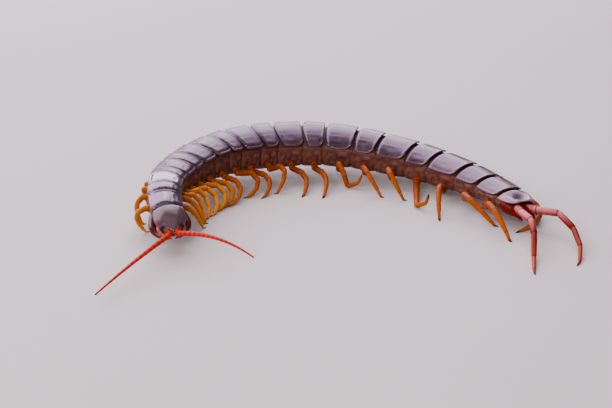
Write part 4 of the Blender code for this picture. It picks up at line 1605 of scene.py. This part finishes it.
    def add(self, surface: Surface, pair: int, side: Side) -> None:
        """Adds one leg with its spurs.

        Args:
            surface: The surface to add to.
            pair: Number of the pair.
            side: Side of the animal.
        """
        joints = self.joints(pair, side)
        scale = self.scale(pair) * MM
        radii = [radius * scale for radius in self.radii] + [self.tip_radius]
        # Painted light: the front pairs' outer articles are painted brighter, most on the upper side,
        # standing in for light on them.
        front_painted_light = 0.95 * (1 - step(3.0, 9.0, pair)) + 0.05
        bright = {0.0: 0.0, 0.2: 0.3 * front_painted_light, 0.5: front_painted_light, 1.0: front_painted_light}
        Limb(joints, radii, bright=bright).build(surface)
        length, thick = self.spur
        for end, spread in self.spurs:
            run = (joints[end] - joints[end - 1]).normalized()
            across = run.cross(UP).normalized()
            under = run.cross(across).normalized()
            if under.z > 0:
                under = -under
            outwards = under * 0.8 + 0.6 * spread * across
            root = joints[end].lerp(joints[end - 1], 0.12) + 0.6 * radii[end] * outwards
            way = run + 0.75 * under + 0.5 * spread * across
            Limb.spine(surface, root, way, length * scale, thick * MM)

    def build(self) -> None:
        """Builds the legs, three to a piece on each side."""
        for side in Side:
            for first in range(1, LAST_PLATE, 3):
                pairs = range(first, min(first + 3, LAST_PLATE))
                surface = Surface(Limb.TRAITS)
                for pair in pairs:
                    self.add(surface, pair, side)
                nodes = [f"leg_{side.hand}_{pair:02d}" for pair in pairs]
                surface.piece(f"legs_{side.hand}_{pairs[0]:02d}_{pairs[-1]:02d}", LEG_SHELL, "legs", *nodes)


@dataclass
class LastLegs(Part):
    """The long last pair, which trails behind the tail, and the pointed flanks that carry it.

    Attributes:
        lengths: Lengths of the articles, in mm.
        radii: Radii at their ends, from inside the tail, in mm.
        heights: Heights of their outer ends on each side, in mm.
        headings: Headings of the articles on each side, in degrees.
        sideways: Place of the roots across the tail.
        deep: Their depth as a share of the body's.
        inset: How far inside the tail a leg starts.
        overlap: How far its first article goes on past the root.
        bright: Strength of the painted reflection on the upper side along a leg.
        spines: Number of spines under the article after the swollen one.
        spine: Their length and radius.
        flank: Line of a pointed flank: place, shares of the width and depth, radius in mm.
        flank_spine: Length and radius of the spines on its point.
        end: The same line of the red end of the trunk between the legs.
    """

    lengths: Values = (0.8, 6.6, 8.4, 9.0, 7.6, 3.0)
    radii: Values = (1.15, 1.10, 1.14, 1.02, 0.90, 0.72, 0.46, 0.10)
    heights: dict[Side, Values] = given({
        Side.LEFT: (5.8, 5.8, 5.6, 4.6, 1.0, 0.36, 0.10),
        Side.RIGHT: (5.8, 5.8, 5.6, 3.8, 1.8, 0.36, 0.10),
    })
    headings: dict[Side, Values] = given({
        Side.LEFT: (-80, -69, -90, -96, -96, -91),
        Side.RIGHT: (-40, -18, -67, -85, -99, -112),
    })
    sideways: float = 0.27
    deep: float = 0.78
    inset: float = 2.2 * MM
    overlap: float = 0.3 * MM
    # Painted reflection on the upper side of the first articles.
    bright: Sizes = given({0.0: 0.1, 0.06: 0.9, 0.22: 0.8, 0.36: 0.2, 0.44: 0.0, 1.0: 0.0})
    spines: int = 8
    spine: Pair = (0.5 * MM, 0.12 * MM)
    flank: Rows = (
        (20.98, 0.24, -0.58, 1.1), (21.15, 0.31, -0.60, 1.6), (21.50, 0.33, -0.65, 1.95),
        (21.80, 0.32, -0.70, 1.55), (22.00, 0.30, -0.82, 0.85), (22.16, 0.275, -0.92, 0.42),
        (22.28, 0.25, -0.95, 0.16),
    )
    flank_spine: Pair = (0.38 * MM, 0.11 * MM)
    end: Rows = (
        (21.05, 0.0, -0.55, 1.5), (21.4, 0.0, -0.60, 1.9), (21.8, 0.0, -0.62, 1.75),
        (22.06, 0.0, -0.64, 1.35), (22.18, 0.0, -0.66, 0.6),
    )

    def joints(self, side: Side) -> list[Vector]:
        """Ends of a last leg's articles.

        Args:
            side: Side of the animal.

        Returns:
            The ends, from inside the tail to the tip of the claw.
        """
        body = self.body
        headings = [math.radians(heading) for heading in self.headings[side]]
        outwards = Vector((math.cos(headings[0]), math.sin(headings[0]), 0))
        across = side.value * body.width(TAIL_END) * self.sideways
        outer = body.frame(TAIL_END) @ Vector((-0.5 * MM, across, -body.depth(TAIL_END) * self.deep))
        outer.z = self.heights[side][0] * MM
        points = [outer - self.inset * outwards, outer + self.overlap * outwards]
        for length, heading, height in zip(self.lengths, headings, self.heights[side][1:]):
            point = points[-1] + length * MM * Vector((math.cos(heading), math.sin(heading), 0))
            point.z = height * MM
            points.append(point)
        return points

    def add_spines(self, surface: Surface, start: Vector, end: Vector, side: Side) -> None:
        """Adds the spines of one article.

        Args:
            surface: The surface to add to.
            start: Start of the article.
            end: Its end.
            side: Side of the animal.
        """
        run = (end - start).normalized()
        across = run.cross(UP).normalized()
        for number in range(self.spines):
            turn = 0.5 * (number % 3)
            around = across * side.value * -1 * math.cos(turn) - UP * math.sin(0.35 + turn)
            around.normalize()
            root = start.lerp(end, 0.22 + 0.1 * number) + 0.92 * MM * around
            Limb.spine(surface, root, around + 0.5 * run, *self.spine)

    def build(self) -> None:
        """Builds both legs with their spines, the flanks and the end of the trunk."""
        for side in Side:
            joints = self.joints(side)
            surface = Surface(Limb.TRAITS)
            Limb(joints, [radius * MM for radius in self.radii], bright=self.bright).build(surface, 20)
            self.add_spines(surface, joints[2], joints[3], side)
            surface.piece(f"last_leg_{side.hand}", LAST_LEG_SHELL, "last_legs", f"leg_{side.hand}_21")
            self.build_flank(side)
        end = Surface(Limb.TRAITS)
        self.trunk(self.end, Side.LEFT).build(end, 30, (0.0, 0.0, 0.0))
        end.piece("tail_end", LAST_LEG_SHELL, "last_legs")

    def trunk(self, line: Rows, side: Side) -> Limb:
        """Smooth stretch of trunk along a line of places, shares of the width and depth, and radii."""
        points = [self.body.spot(place, side, across, rise) for place, across, rise, _ in line]
        return Limb(points, [radius * MM for *_, radius in line], {0.0: 1.0, 1.0: 1.0})

    def build_flank(self, side: Side) -> None:
        """Builds the pointed flank beside the tail plate.

        Args:
            side: Side of the animal.
        """
        surface = Surface(Limb.TRAITS)
        limb = self.trunk(self.flank, side)
        limb.build(surface, 22, (0.10, 0.0, 0.0))
        point = limb.joints[-1]
        way = (point - limb.joints[-3]).normalized()
        for turn in (0.5, -0.5):
            spread = way.cross(UP).normalized() * turn
            Limb.spine(surface, point - 0.1 * MM * way, way + spread, *self.flank_spine)
        surface.piece(f"tail_flank_{side.hand}", LAST_LEG_SHELL, "last_legs")


# The head


@dataclass
class Feelers(Part):
    """The two feelers of ringed articles.

    Attributes:
        articles: Number of articles.
        root: Place of the root in the head's frame, in mm.
        inset: How far inside the head a feeler starts.
        overlap: How far its first article goes on past the root.
        inner_radius: Radius inside the head.
        root_radius: Radius at the root.
        tip_radius: Radius at the tip.
        tips: Tips from the roots, in mm.
        bows: How far the middles bow, in mm.
        profile: Share of the radius along an article.
        bright: Strength of the painted highlight on the upper side along a feeler.
        rounding: Share of an article that each bend takes.
        band: Share of an article that the soft ring at each joint takes.
        socket: Rings of the socket: distance ahead of the root and radius, in mm.
        socket_profile: Share of the radius along the parts of the socket.
    """

    articles: int = 17
    root: Place = (9.6, 1.2, -1.85)
    inset: float = 1.4 * MM
    overlap: float = 0.6 * MM
    inner_radius: float = 0.82 * 0.92 * MM
    root_radius: float = 0.82 * MM
    tip_radius: float = 0.24 * MM
    tips: dict[Side, Values] = given({Side.LEFT: (21.4, -19.4, 0.2), Side.RIGHT: (-16.0, -34.8, -3.8)})
    bows: dict[Side, Values] = given({Side.LEFT: (0.4, -0.8, 2.3), Side.RIGHT: (-0.2, 0.1, 0.2)})
    profile: Sizes = given({0.0: 0.80, 0.12: 0.94, 0.35: 1.0, 0.72: 1.03, 0.9: 0.97, 1.0: 0.80})
    bright: Sizes = given({0.0: 0.25, 0.6: 0.15, 1.0: 0.05})
    rounding: float = 0.45
    band: float = 0.16
    socket: Rows = ((-2.2, 0.80), (-0.9, 0.92), (-0.35, 0.84))
    socket_profile: Sizes = given({0.0: 0.96, 0.5: 1.0, 1.0: 0.94})

    def limb(self, root: Vector, forward: Vector, side: Side) -> Limb:
        """Line and radii of one feeler.

        Args:
            root: Its root.
            forward: The way that the head faces.
            side: Side of the animal.

        Returns:
            The limb.
        """
        start, tip = root + self.overlap * forward, root + MM * Vector(self.tips[side])
        bow = MM * Vector(self.bows[side])
        joints, radii = [root - self.inset * forward, root], [self.inner_radius, self.root_radius]
        for number in range(self.articles + 1):
            share = number / self.articles
            joints.append(start.lerp(tip, share) + 4 * share * (1 - share) * bow)
            radii.append(blend(self.root_radius, self.tip_radius, share**0.85))
        return Limb(joints, radii, self.profile, self.bright, self.rounding, self.band)

    def build(self) -> None:
        """Builds both feelers with their sockets."""
        forward = self.body.head().col[0].xyz
        for side in Side:
            root = self.body.head_spot(side, *self.root)
            surface = Surface(Limb.TRAITS)
            self.limb(root, forward, side).build(surface)
            ends = [root + MM * reach * forward for reach, _ in self.socket]
            socket = Limb(ends, [radius * MM for _, radius in self.socket], self.socket_profile)
            socket.build(surface, 24, (0.0, 0.9, 0.0))
            surface.piece(f"feeler_{side.hand}", FEELER_SHELL, "feelers", f"antenna_{side.hand}")


@dataclass
class Head(Part):
    """Head shield, the capsule under it, and the eyes.

    Attributes:
        shield: Half width, top and drop of the shield at distances from border 1, in mm.
        brim: How far the shield goes on past the last of these, in mm.
        rows: Rows of points along the shield.
        columns: Columns across it.
        thick: Thickness of the shield.
        lift: Its height over the plain shape.
        corner: How far its corners are cut back, as a share of the width.
        eye_bay: How far its sides draw in over the eyes.
        droop: Power of the width that its sides hang with.
        lean: Outward lean of its thickness at the sides.
        edge: Radius of its rounded rim, in mm.
        waves: Sizes and heights of its slight unevenness, in mm.
        middle_groove: Depth of the fine groove on its front.
        rear_groove: Depth of the two short grooves at its rear.
        side_groove: Depth of the line along its sides.
        dent: The shallow dent behind the feelers.
        shade: Painted shade in that dent.
        core: Half width, top and bottom of the capsule at such distances, in mm.
        core_run: Where the capsule starts and ends, in mm.
        core_rings: Rings of the capsule.
        core_sides: Points of each ring.
        core_power: Power of its squared section.
        eye_place: Middle of a group of eyes, in mm in the head's frame.
        eye_facing: The way that it faces.
        eye_bed: Radius of the bed, its height as a share, and how deep its middle lies.
        dome: Radius of one eye.
        dome_depth: How deep its middle lies.
        spread: Distance of the eyes from the middle of their group.
    """

    shield: Rows = (
        (0.2, 4.05, 0.00, 1.35), (1.2, 4.45, 0.22, 1.60), (3.4, 4.65, 0.40, 1.95), (5.6, 4.30, 0.22, 1.85),
        (7.3, 3.45, -0.30, 1.45), (8.5, 2.45, -0.85, 1.00), (9.2, 1.55, -1.30, 0.60),
    )
    brim: float = 0.12
    rows: int = 44
    columns: int = 60
    thick: float = 0.5 * MM
    lift: float = 0.05 * MM
    corner: float = 0.42
    eye_bay: float = 0.11
    droop: float = 2.2
    lean: float = 0.5
    edge: float = 0.36
    waves: Rows = ((2.4, 0.02), (0.7, 0.005))
    middle_groove: float = 0.13 * MM
    rear_groove: float = 0.08 * MM
    side_groove: float = 0.10 * MM
    dent: Swell = Swell(-0.22 * MM, (0.0, 0.4), (0.72, 0.16))
    shade: Swell = Swell(0.70, (0.0, 0.42), (0.76, 0.22))
    core: Rows = (
        (0.5, 3.4, -0.7, -3.5), (3.0, 3.95, -0.6, -3.75), (5.8, 3.6, -0.7, -3.6), (7.6, 2.8, -1.1, -3.2),
        (8.6, 1.9, -1.5, -2.8),
    )
    core_run: Pair = (0.15, 8.9)
    core_rings: int = 28
    core_sides: int = 40
    core_power: float = 2.4
    eye_place: Place = (7.55, 2.90, -1.75)
    eye_facing: Place = (0.42, 0.78, 0.46)
    eye_bed: Place = (1.0 * MM, 0.62, 0.50 * MM)
    dome: float = 0.33 * MM
    dome_depth: float = 0.08 * MM
    spread: float = 0.41 * MM

    def relief(self, across: float, share: float, inwards: float, spot: Vector) -> float:
        """Height of the fine shape of the shield over its plain dome.

        Args:
            across: Share of the half width.
            share: Share of the length.
            inwards: Distance from the side, in mm.
            spot: The point itself.

        Returns:
            The height there.
        """
        out = abs(across)
        height = uneven(spot, self.waves) + self.dent.at(across, share)
        height -= self.middle_groove * hump(across, 0.0, 0.03) * step(0.55, 0.8, share)
        height -= self.rear_groove * hump(out, 0.34 - 0.1 * share, 0.02) * (1 - step(0.12, 0.4, share))
        return height - self.side_groove * hump(inwards, 0.55, 0.2)

    def build_shield(self) -> None:
        """Builds the domed shield on top of the head."""
        frame = self.body.head()
        halves, tops, drops = tables(self.shield)
        first, last = self.shield[0][0], self.shield[-1][0] + self.brim
        across, shares = from_side_to_side(self.columns), from_end_to_end(self.rows)

        def place(row: int, column: int, face: float) -> Vector:
            """Point of the upper or lower sheet."""
            share, u = shares[row], across[column]
            ahead = blend(first, last, share)
            corner = 1 - self.corner * (2 * abs(share - 0.5)) ** 14
            half = along(halves, ahead) * (corner if share > 0.5 else 0.5 + 0.5 * corner)
            half *= 1 - self.eye_bay * hump(ahead, self.eye_place[0], 0.7)
            top = along(tops, ahead) - along(drops, ahead) * abs(u) ** self.droop
            spot = frame @ Vector((ahead * MM, half * u * MM, top * MM))
            inwards = (1 - abs(u)) * half
            edge = min(min(share, 1 - share) * (last - first), inwards) / self.edge
            height = self.thick / 2 * (face * rounded(edge) - 1) + self.lift
            height += self.relief(u, share, inwards, spot)
            up = frame.to_3x3() @ Vector((0, self.lean * u * abs(u), 1)).normalized()
            return spot + up * height

        def value(row: int, column: int) -> Values:
            """Rim and painted shade values."""
            share, u = shares[row], across[column]
            side = (1 - abs(u)) * along(halves, blend(first, last, share))
            rim = max(1 - side / 0.5, step(0.72, 0.94, share), 0.0)
            # The painted shade darkens the dent behind the feelers.
            return (min(rim, 1.0), self.shade.at(u, share))

        surface = Surface(("rim", "painted_shade"))
        surface.plate(self.rows, self.columns, place, value)
        surface.piece("head_shield", HEAD_SHELL, "head_shell", "head")

    def build_capsule(self) -> None:
        """Builds the sides and underside of the head."""
        frame = self.body.head()
        sizes = tables(self.core)
        distances = [blend(*self.core_run, k / (self.core_rings - 1)) for k in range(self.core_rings)]
        rings = []
        for ahead in distances:
            half, top, low = (along(size, ahead) for size in sizes)
            close = 1 - 0.35 * step(8.3, 8.95, ahead)
            ring = []
            for turn in circle(self.core_sides, 0.5):
                x, z = squared(turn, self.core_power)
                rise = (top + low) / 2 + (top - low) / 2 * close * z
                spot = frame @ Vector((ahead * MM, half * close * x * MM, rise * MM))
                ring.append(spot + frame.col[2].xyz * 0.05 * MM * grain(spot, 1.2 * MM))
            rings.append(ring)
        surface = Surface(("rim", "painted_shade"))
        surface.tube(rings, lambda row, k: (0.35 + 0.5 * step(6.0, 8.5, distances[row]), 0.0))
        surface.piece("head_capsule", HEAD_SHELL, "head_shell")

    def build_eyes(self) -> None:
        """Builds four domes on a bed at each front corner of the head."""
        frame = self.body.head()
        bed_radius, bed_height, bed_depth = self.eye_bed
        for side in Side:
            x, y, z = self.eye_facing
            facing = (frame.to_3x3() @ Vector((x, side.value * y, z)).normalized()).normalized()
            middle = self.body.head_spot(side, *self.eye_place)
            around = frame.col[0].xyz.cross(facing).normalized()
            other = facing.cross(around)
            surface = Surface(("dome",))
            self.add_dome(surface, middle - bed_depth * facing, (facing, around), bed_radius, bed_height, 0.0)
            for turn in circle(4, 0.5):
                centre = middle + self.spread * (around * math.cos(turn) * 1.05 + other * math.sin(turn))
                centre -= self.dome_depth * facing
                self.add_dome(surface, centre, (facing, around), self.dome, 1.0, 1.0)
            surface.piece(f"eyes_group_{side.hand}", EYE_GLASS, "eyes", f"eyes_{side.hand}")

    @staticmethod
    def add_dome(
        surface: Surface,
        centre: Vector,
        ways: tuple[Vector, Vector],
        radius: float,
        tall: float,
        value: float,
    ) -> None:
        """Adds one closed dome.

        Args:
            surface: The surface to add to.
            centre: Its middle.
            ways: The way that it bulges, and a direction across it.
            radius: Radius across.
            tall: Height as a share of the radius.
            value: The dome value of its points.
        """
        facing, around = ways
        other = facing.cross(around)
        rings = []
        for k in range(11):
            turn = math.pi * (k + 0.35) / 10.7 - math.pi / 2
            middle, wide = centre + facing * (math.sin(turn) * radius * tall), math.cos(turn) * radius
            rings.append([middle + wide * (around * math.cos(a) + other * math.sin(a)) for a in circle(18)])
        surface.tube(rings, lambda row, k: (value,))

    def build(self) -> None:
        """Builds the shield, the capsule and the eyes."""
        self.build_shield()
        self.build_capsule()
        self.build_eyes()


@dataclass
class Mouth(Part):
    """The venom claws, the plate that carries them, and the jaws.

    Attributes:
        claw: Line of a venom claw: ahead, out, up and radius, in mm in the head's frame.
        claw_profile: Share of the radius along each stretch of it.
        claw_rounding: Share of a stretch that each bend takes.
        claw_plate: Ahead, half width, top and bottom of the plate, in mm.
        jaws: The same of the mouthparts.
        throat: The same of the soft parts between them and the head.
        brow: The same of the face between the feelers.
        inner_palp: Line of an inner palp, as the claw's.
        outer_palp: Line of an outer palp.
        palp_bright: Strength of the painted highlight on the upper side along the outer palp.
        rings: Rings of a block.
        sides: Points of each of its rings.
    """

    claw: Rows = (
        (-1.0, 3.5, -4.3, 1.20), (0.6, 4.1, -4.5, 1.38), (2.15, 4.45, -4.75, 1.42), (3.4, 4.7, -4.9, 1.40),
        (4.7, 4.65, -4.9, 1.24), (5.9, 4.1, -5.0, 1.02), (6.9, 3.25, -5.1, 0.82), (7.6, 2.3, -5.3, 0.56),
        (7.95, 1.5, -5.45, 0.34), (8.05, 0.85, -5.5, 0.10),
    )
    claw_profile: Sizes = given({0.0: 0.985, 0.5: 1.0, 1.0: 0.985})
    claw_rounding: float = 0.45
    claw_plate: Rows = (
        (-3.0, 4.0, -4.25, -5.6), (0.6, 4.0, -4.15, -5.75), (3.0, 3.0, -4.15, -5.65),
        (4.5, 1.7, -4.15, -5.35),
    )
    jaws: Rows = (
        (4.95, 1.75, -4.1, -4.95), (6.3, 1.85, -4.05, -4.9), (7.7, 1.5, -3.7, -4.55),
        (8.8, 0.95, -3.25, -4.0), (9.3, 0.45, -3.3, -3.75),
    )
    throat: Rows = (
        (0.4, 3.3, -3.2, -4.5), (2.0, 3.9, -3.2, -4.7), (4.5, 3.7, -3.1, -4.7), (6.5, 2.7, -3.0, -4.5),
        (8.0, 1.7, -2.8, -4.2),
    )
    brow: Rows = ((7.0, 2.1, -1.3, -3.4), (8.2, 1.8, -1.5, -3.2), (9.0, 1.3, -1.8, -3.0))
    inner_palp: Rows = (
        (6.0, 1.2, -4.6, 0.34), (7.4, 1.75, -4.75, 0.40), (8.5, 1.45, -4.55, 0.36), (9.25, 0.8, -4.25, 0.28),
        (9.55, 0.35, -4.2, 0.06),
    )
    outer_palp: Rows = (
        (3.6, 3.1, -4.0, 0.60), (5.2, 3.45, -3.85, 0.70), (6.7, 3.3, -3.75, 0.66), (7.9, 2.75, -3.65, 0.58),
        (8.8, 1.95, -3.75, 0.42), (9.0, 1.6, -3.8, 0.08),
    )
    # Painted highlight on the upper side of the outer palps' ends.
    palp_bright: Sizes = given({0.0: 0.0, 0.5: 0.1, 1.0: 0.3})
    rings: int = 22
    sides: int = 36

    def limb(self, side: Side, line: Rows, **shape: Sizes | float) -> Limb:
        """Limb along a line of places and radii in the head's frame, in mm."""
        joints = [self.body.head_spot(side, *place) for *place, _ in line]
        return Limb(joints, [radius * MM for *_, radius in line], **shape)

    def block(self, surface: Surface, sizes: Rows, square: float) -> None:
        """Adds a flat rounded body along the head.

        Args:
            surface: The surface to add to.
            sizes: Ahead, half width, top and bottom, in mm.
            square: Power of its squared section.
        """
        frame = self.body.head()
        halves, tops, lows = tables(sizes)
        shares = [k / (self.rings - 1) for k in range(self.rings)]
        rings = []
        for share in shares:
            ahead = blend(sizes[0][0], sizes[-1][0], share)
            half, top, low = along(halves, ahead), along(tops, ahead), along(lows, ahead)
            close = 1 - 0.3 * (1 - step(0.0, 0.08, share)) - 0.3 * step(0.92, 1.0, share)
            ring = []
            for turn in circle(self.sides, 0.5):
                x, z = squared(turn, square)
                notch = 0.12 * hump(x, 0.0, 0.12) * (1 if z < 0 else 0.4)
                rise = (top + low) / 2 + (top - low) / 2 * close * z * (1 - notch)
                ring.append(frame @ Vector((ahead * MM, half * close * x * MM, rise * MM)))
            rings.append(ring)
        surface.tube(rings, lambda row, k: (0.05 + 0.8 * shares[row], 0.0, 0.0))

    def build(self) -> None:
        """Builds the claws, their plate and the jaws."""
        for side in Side:
            claw = Surface(Limb.TRAITS)
            limb = self.limb(side, self.claw, profile=self.claw_profile, rounding=self.claw_rounding)
            limb.build(claw, 24)
            claw.piece(f"venom_claw_{side.hand}", VENOM_SHELL, "venom_claws", f"forcipule_{side.hand}")
        plate = Surface(Limb.TRAITS)
        self.block(plate, self.claw_plate, 3.0)
        plate.piece("claw_plate", VENOM_SHELL, "venom_claws")
        jaws = Surface(Limb.TRAITS)
        self.block(jaws, self.jaws, 2.6)
        for side in Side:
            self.limb(side, self.inner_palp).build(jaws, 14)
            self.limb(side, self.outer_palp, bright=self.palp_bright).build(jaws)
        self.block(jaws, self.throat, 2.4)
        self.block(jaws, self.brow, 2.6)
        jaws.piece("jaws", JAW_SHELL, "mouth", "mouthparts")


# The studio


def direction(turn: float, rise: float) -> Place:
    """Direction from its turn over the floor and its rise, in degrees."""
    turn, rise = math.radians(turn), math.radians(rise)
    return math.cos(turn) * math.cos(rise), math.sin(turn) * math.cos(rise), math.sin(rise)


@dataclass(frozen=True)
class Lamp:
    """One soft light, which faces the model's middle.

    Attributes:
        name: Its name.
        offset: Where it is, from that middle.
        size: Width and height.
        watts: Power.
        colour: Colour of the light.
    """

    name: str
    offset: Place
    size: Pair
    watts: float
    colour: Colour

    def build(self, middle: Vector) -> None:
        """Adds the light round a middle."""
        data = bpy.data.lights.new(self.name, "AREA")
        data.shape = "RECTANGLE"
        data.size, data.size_y = self.size
        data.energy = self.watts
        data.color = self.colour
        item = bpy.data.objects.new(self.name, data)
        item.location = middle + Vector(self.offset)
        item.rotation_euler = (middle - item.location).to_track_quat("-Z", "Y").to_euler()
        item.visible_camera = False
        bpy.context.scene.collection.objects.link(item)


@dataclass
class Studio(Part):
    """Floor, lights and camera.

    Attributes:
        elevation: Angle of the view over the floor, in degrees.
        distance: Distance of the camera.
        focal_pixels: Focal length in pixels of the image.
        aim: The point that the distance is measured to, from the head's front, in mm.
        aside: Pixels that it lies to the right of the image's middle.
        below: Pixels that it lies below.
        sensor: Width of the camera's sensor, in mm.
        middle: The point that the lights face.
        lamps: A broad light behind the model and over it, and soft fills.
        surround: Colour of the even surround.
        surround_strength: Its strength.
        floor_reach: How far the floor goes on each side.
        floor_colours: Darkest and palest colour of the floor.
        haze: Size of its faint clouds.
    """

    elevation: float = 20.0
    distance: float = 0.5
    focal_pixels: float = 1760.0
    aim: Place = (40.0, 22.3, 2.0)
    aside: float = 16.0
    below: float = 18.0
    sensor: float = 36.0
    middle: Place = (0.0, 0.01, 0.008)
    lamps: tuple[Lamp, ...] = (
        Lamp("broad", direction(124, 36), (1.9, 0.90), 29, (1.0, 0.82, 1.0)),
        Lamp("crown", (0.06, 0.47, 0.87), (0.6, 0.40), 2.2, (1.0, 0.84, 1.0)),
        Lamp("overhead", (-0.05, -0.28, 0.85), (0.9, 0.35), 1.0, (0.98, 0.84, 1.0)),
        Lamp("front", (-0.30, -0.76, 0.442), (0.6, 0.4), 7, (1.0, 0.92, 0.86)),
    )
    surround: Colour = (0.82, 0.82, 0.86)
    surround_strength: float = 0.18
    floor_reach: float = 4.0
    floor_colours: tuple[Colour, Colour] = ((0.60, 0.58, 0.56), (0.64, 0.62, 0.60))
    haze: float = 0.12

    def build_floor(self) -> None:
        """Builds the plain pale floor."""
        graph = Graph("floor")
        colour = graph.tint(graph.speckle(self.haze, 2.0), *self.floor_colours)
        low, high = -self.floor_reach, self.floor_reach
        ends = [(low, low, 0), (high, low, 0), (high, high, 0), (low, high, 0)]
        data = bpy.data.meshes.new("floor")
        data.from_pydata(ends, [], [(0, 1, 2, 3)])
        data.materials.append(graph.finish({"Roughness": 0.7}, Base_Color=colour))
        floor = bpy.data.objects.new("floor", data)
        bpy.context.scene.collection.objects.link(floor)
        floor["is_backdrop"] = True

    def build_lights(self) -> None:
        """Builds the lights and the dim even surround."""
        for lamp in self.lamps:
            lamp.build(Vector(self.middle))
        world = bpy.data.worlds.new("surround")
        world.use_nodes = True
        background = world.node_tree.nodes["Background"]
        background.inputs["Color"].default_value = (*self.surround, 1.0)
        background.inputs["Strength"].default_value = self.surround_strength
        bpy.context.scene.world = world

    def build_camera(self) -> None:
        """Builds the camera at the photograph's angle and framing."""
        tilt = math.radians(self.elevation)
        aim = self.body.head_front + MM * Vector(self.aim)
        place = aim + self.distance * Vector((0, -math.cos(tilt), math.sin(tilt)))
        pitch = tilt - math.atan(self.below / self.focal_pixels)
        yaw = -math.atan(self.aside / self.focal_pixels)
        onward = Vector((math.sin(yaw) * math.cos(pitch), math.cos(yaw) * math.cos(pitch), -math.sin(pitch)))
        right = Vector((math.cos(yaw), -math.sin(yaw), 0))
        data = bpy.data.cameras.new("camera")
        data.sensor_width = self.sensor
        data.lens = self.focal_pixels * self.sensor / IMAGE_WIDTH
        data.clip_start = 0.01
        camera = bpy.data.objects.new("camera", data)
        camera.matrix_world = pose(place, right, right.cross(onward), -onward)
        bpy.context.scene.collection.objects.link(camera)
        bpy.context.scene.camera = camera

    def build(self) -> None:
        """Builds all of the studio."""
        self.build_floor()
        self.build_lights()
        self.build_camera()


def corners(bounds: tuple[Vector, Vector]) -> list[list[float]]:
    """Box as plain lists of numbers."""
    return [list(corner) for corner in bounds]


def main() -> None:
    """Loads the frame and builds every piece over it."""
    logging.basicConfig(level=logging.INFO, format="%(name)s: %(message)s")
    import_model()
    frame_box = corners(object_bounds())
    body = Body()
    for maker in (Studio, BackPlates, BellyPlates, Flanks, WalkingLegs, LastLegs, Feelers, Head, Mouth):
        LOG.info("building %s", maker.__name__)
        maker(body).build()
    {"frame": frame_box, "visual": corners(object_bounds())}


if __name__ == "__main__":
    main()
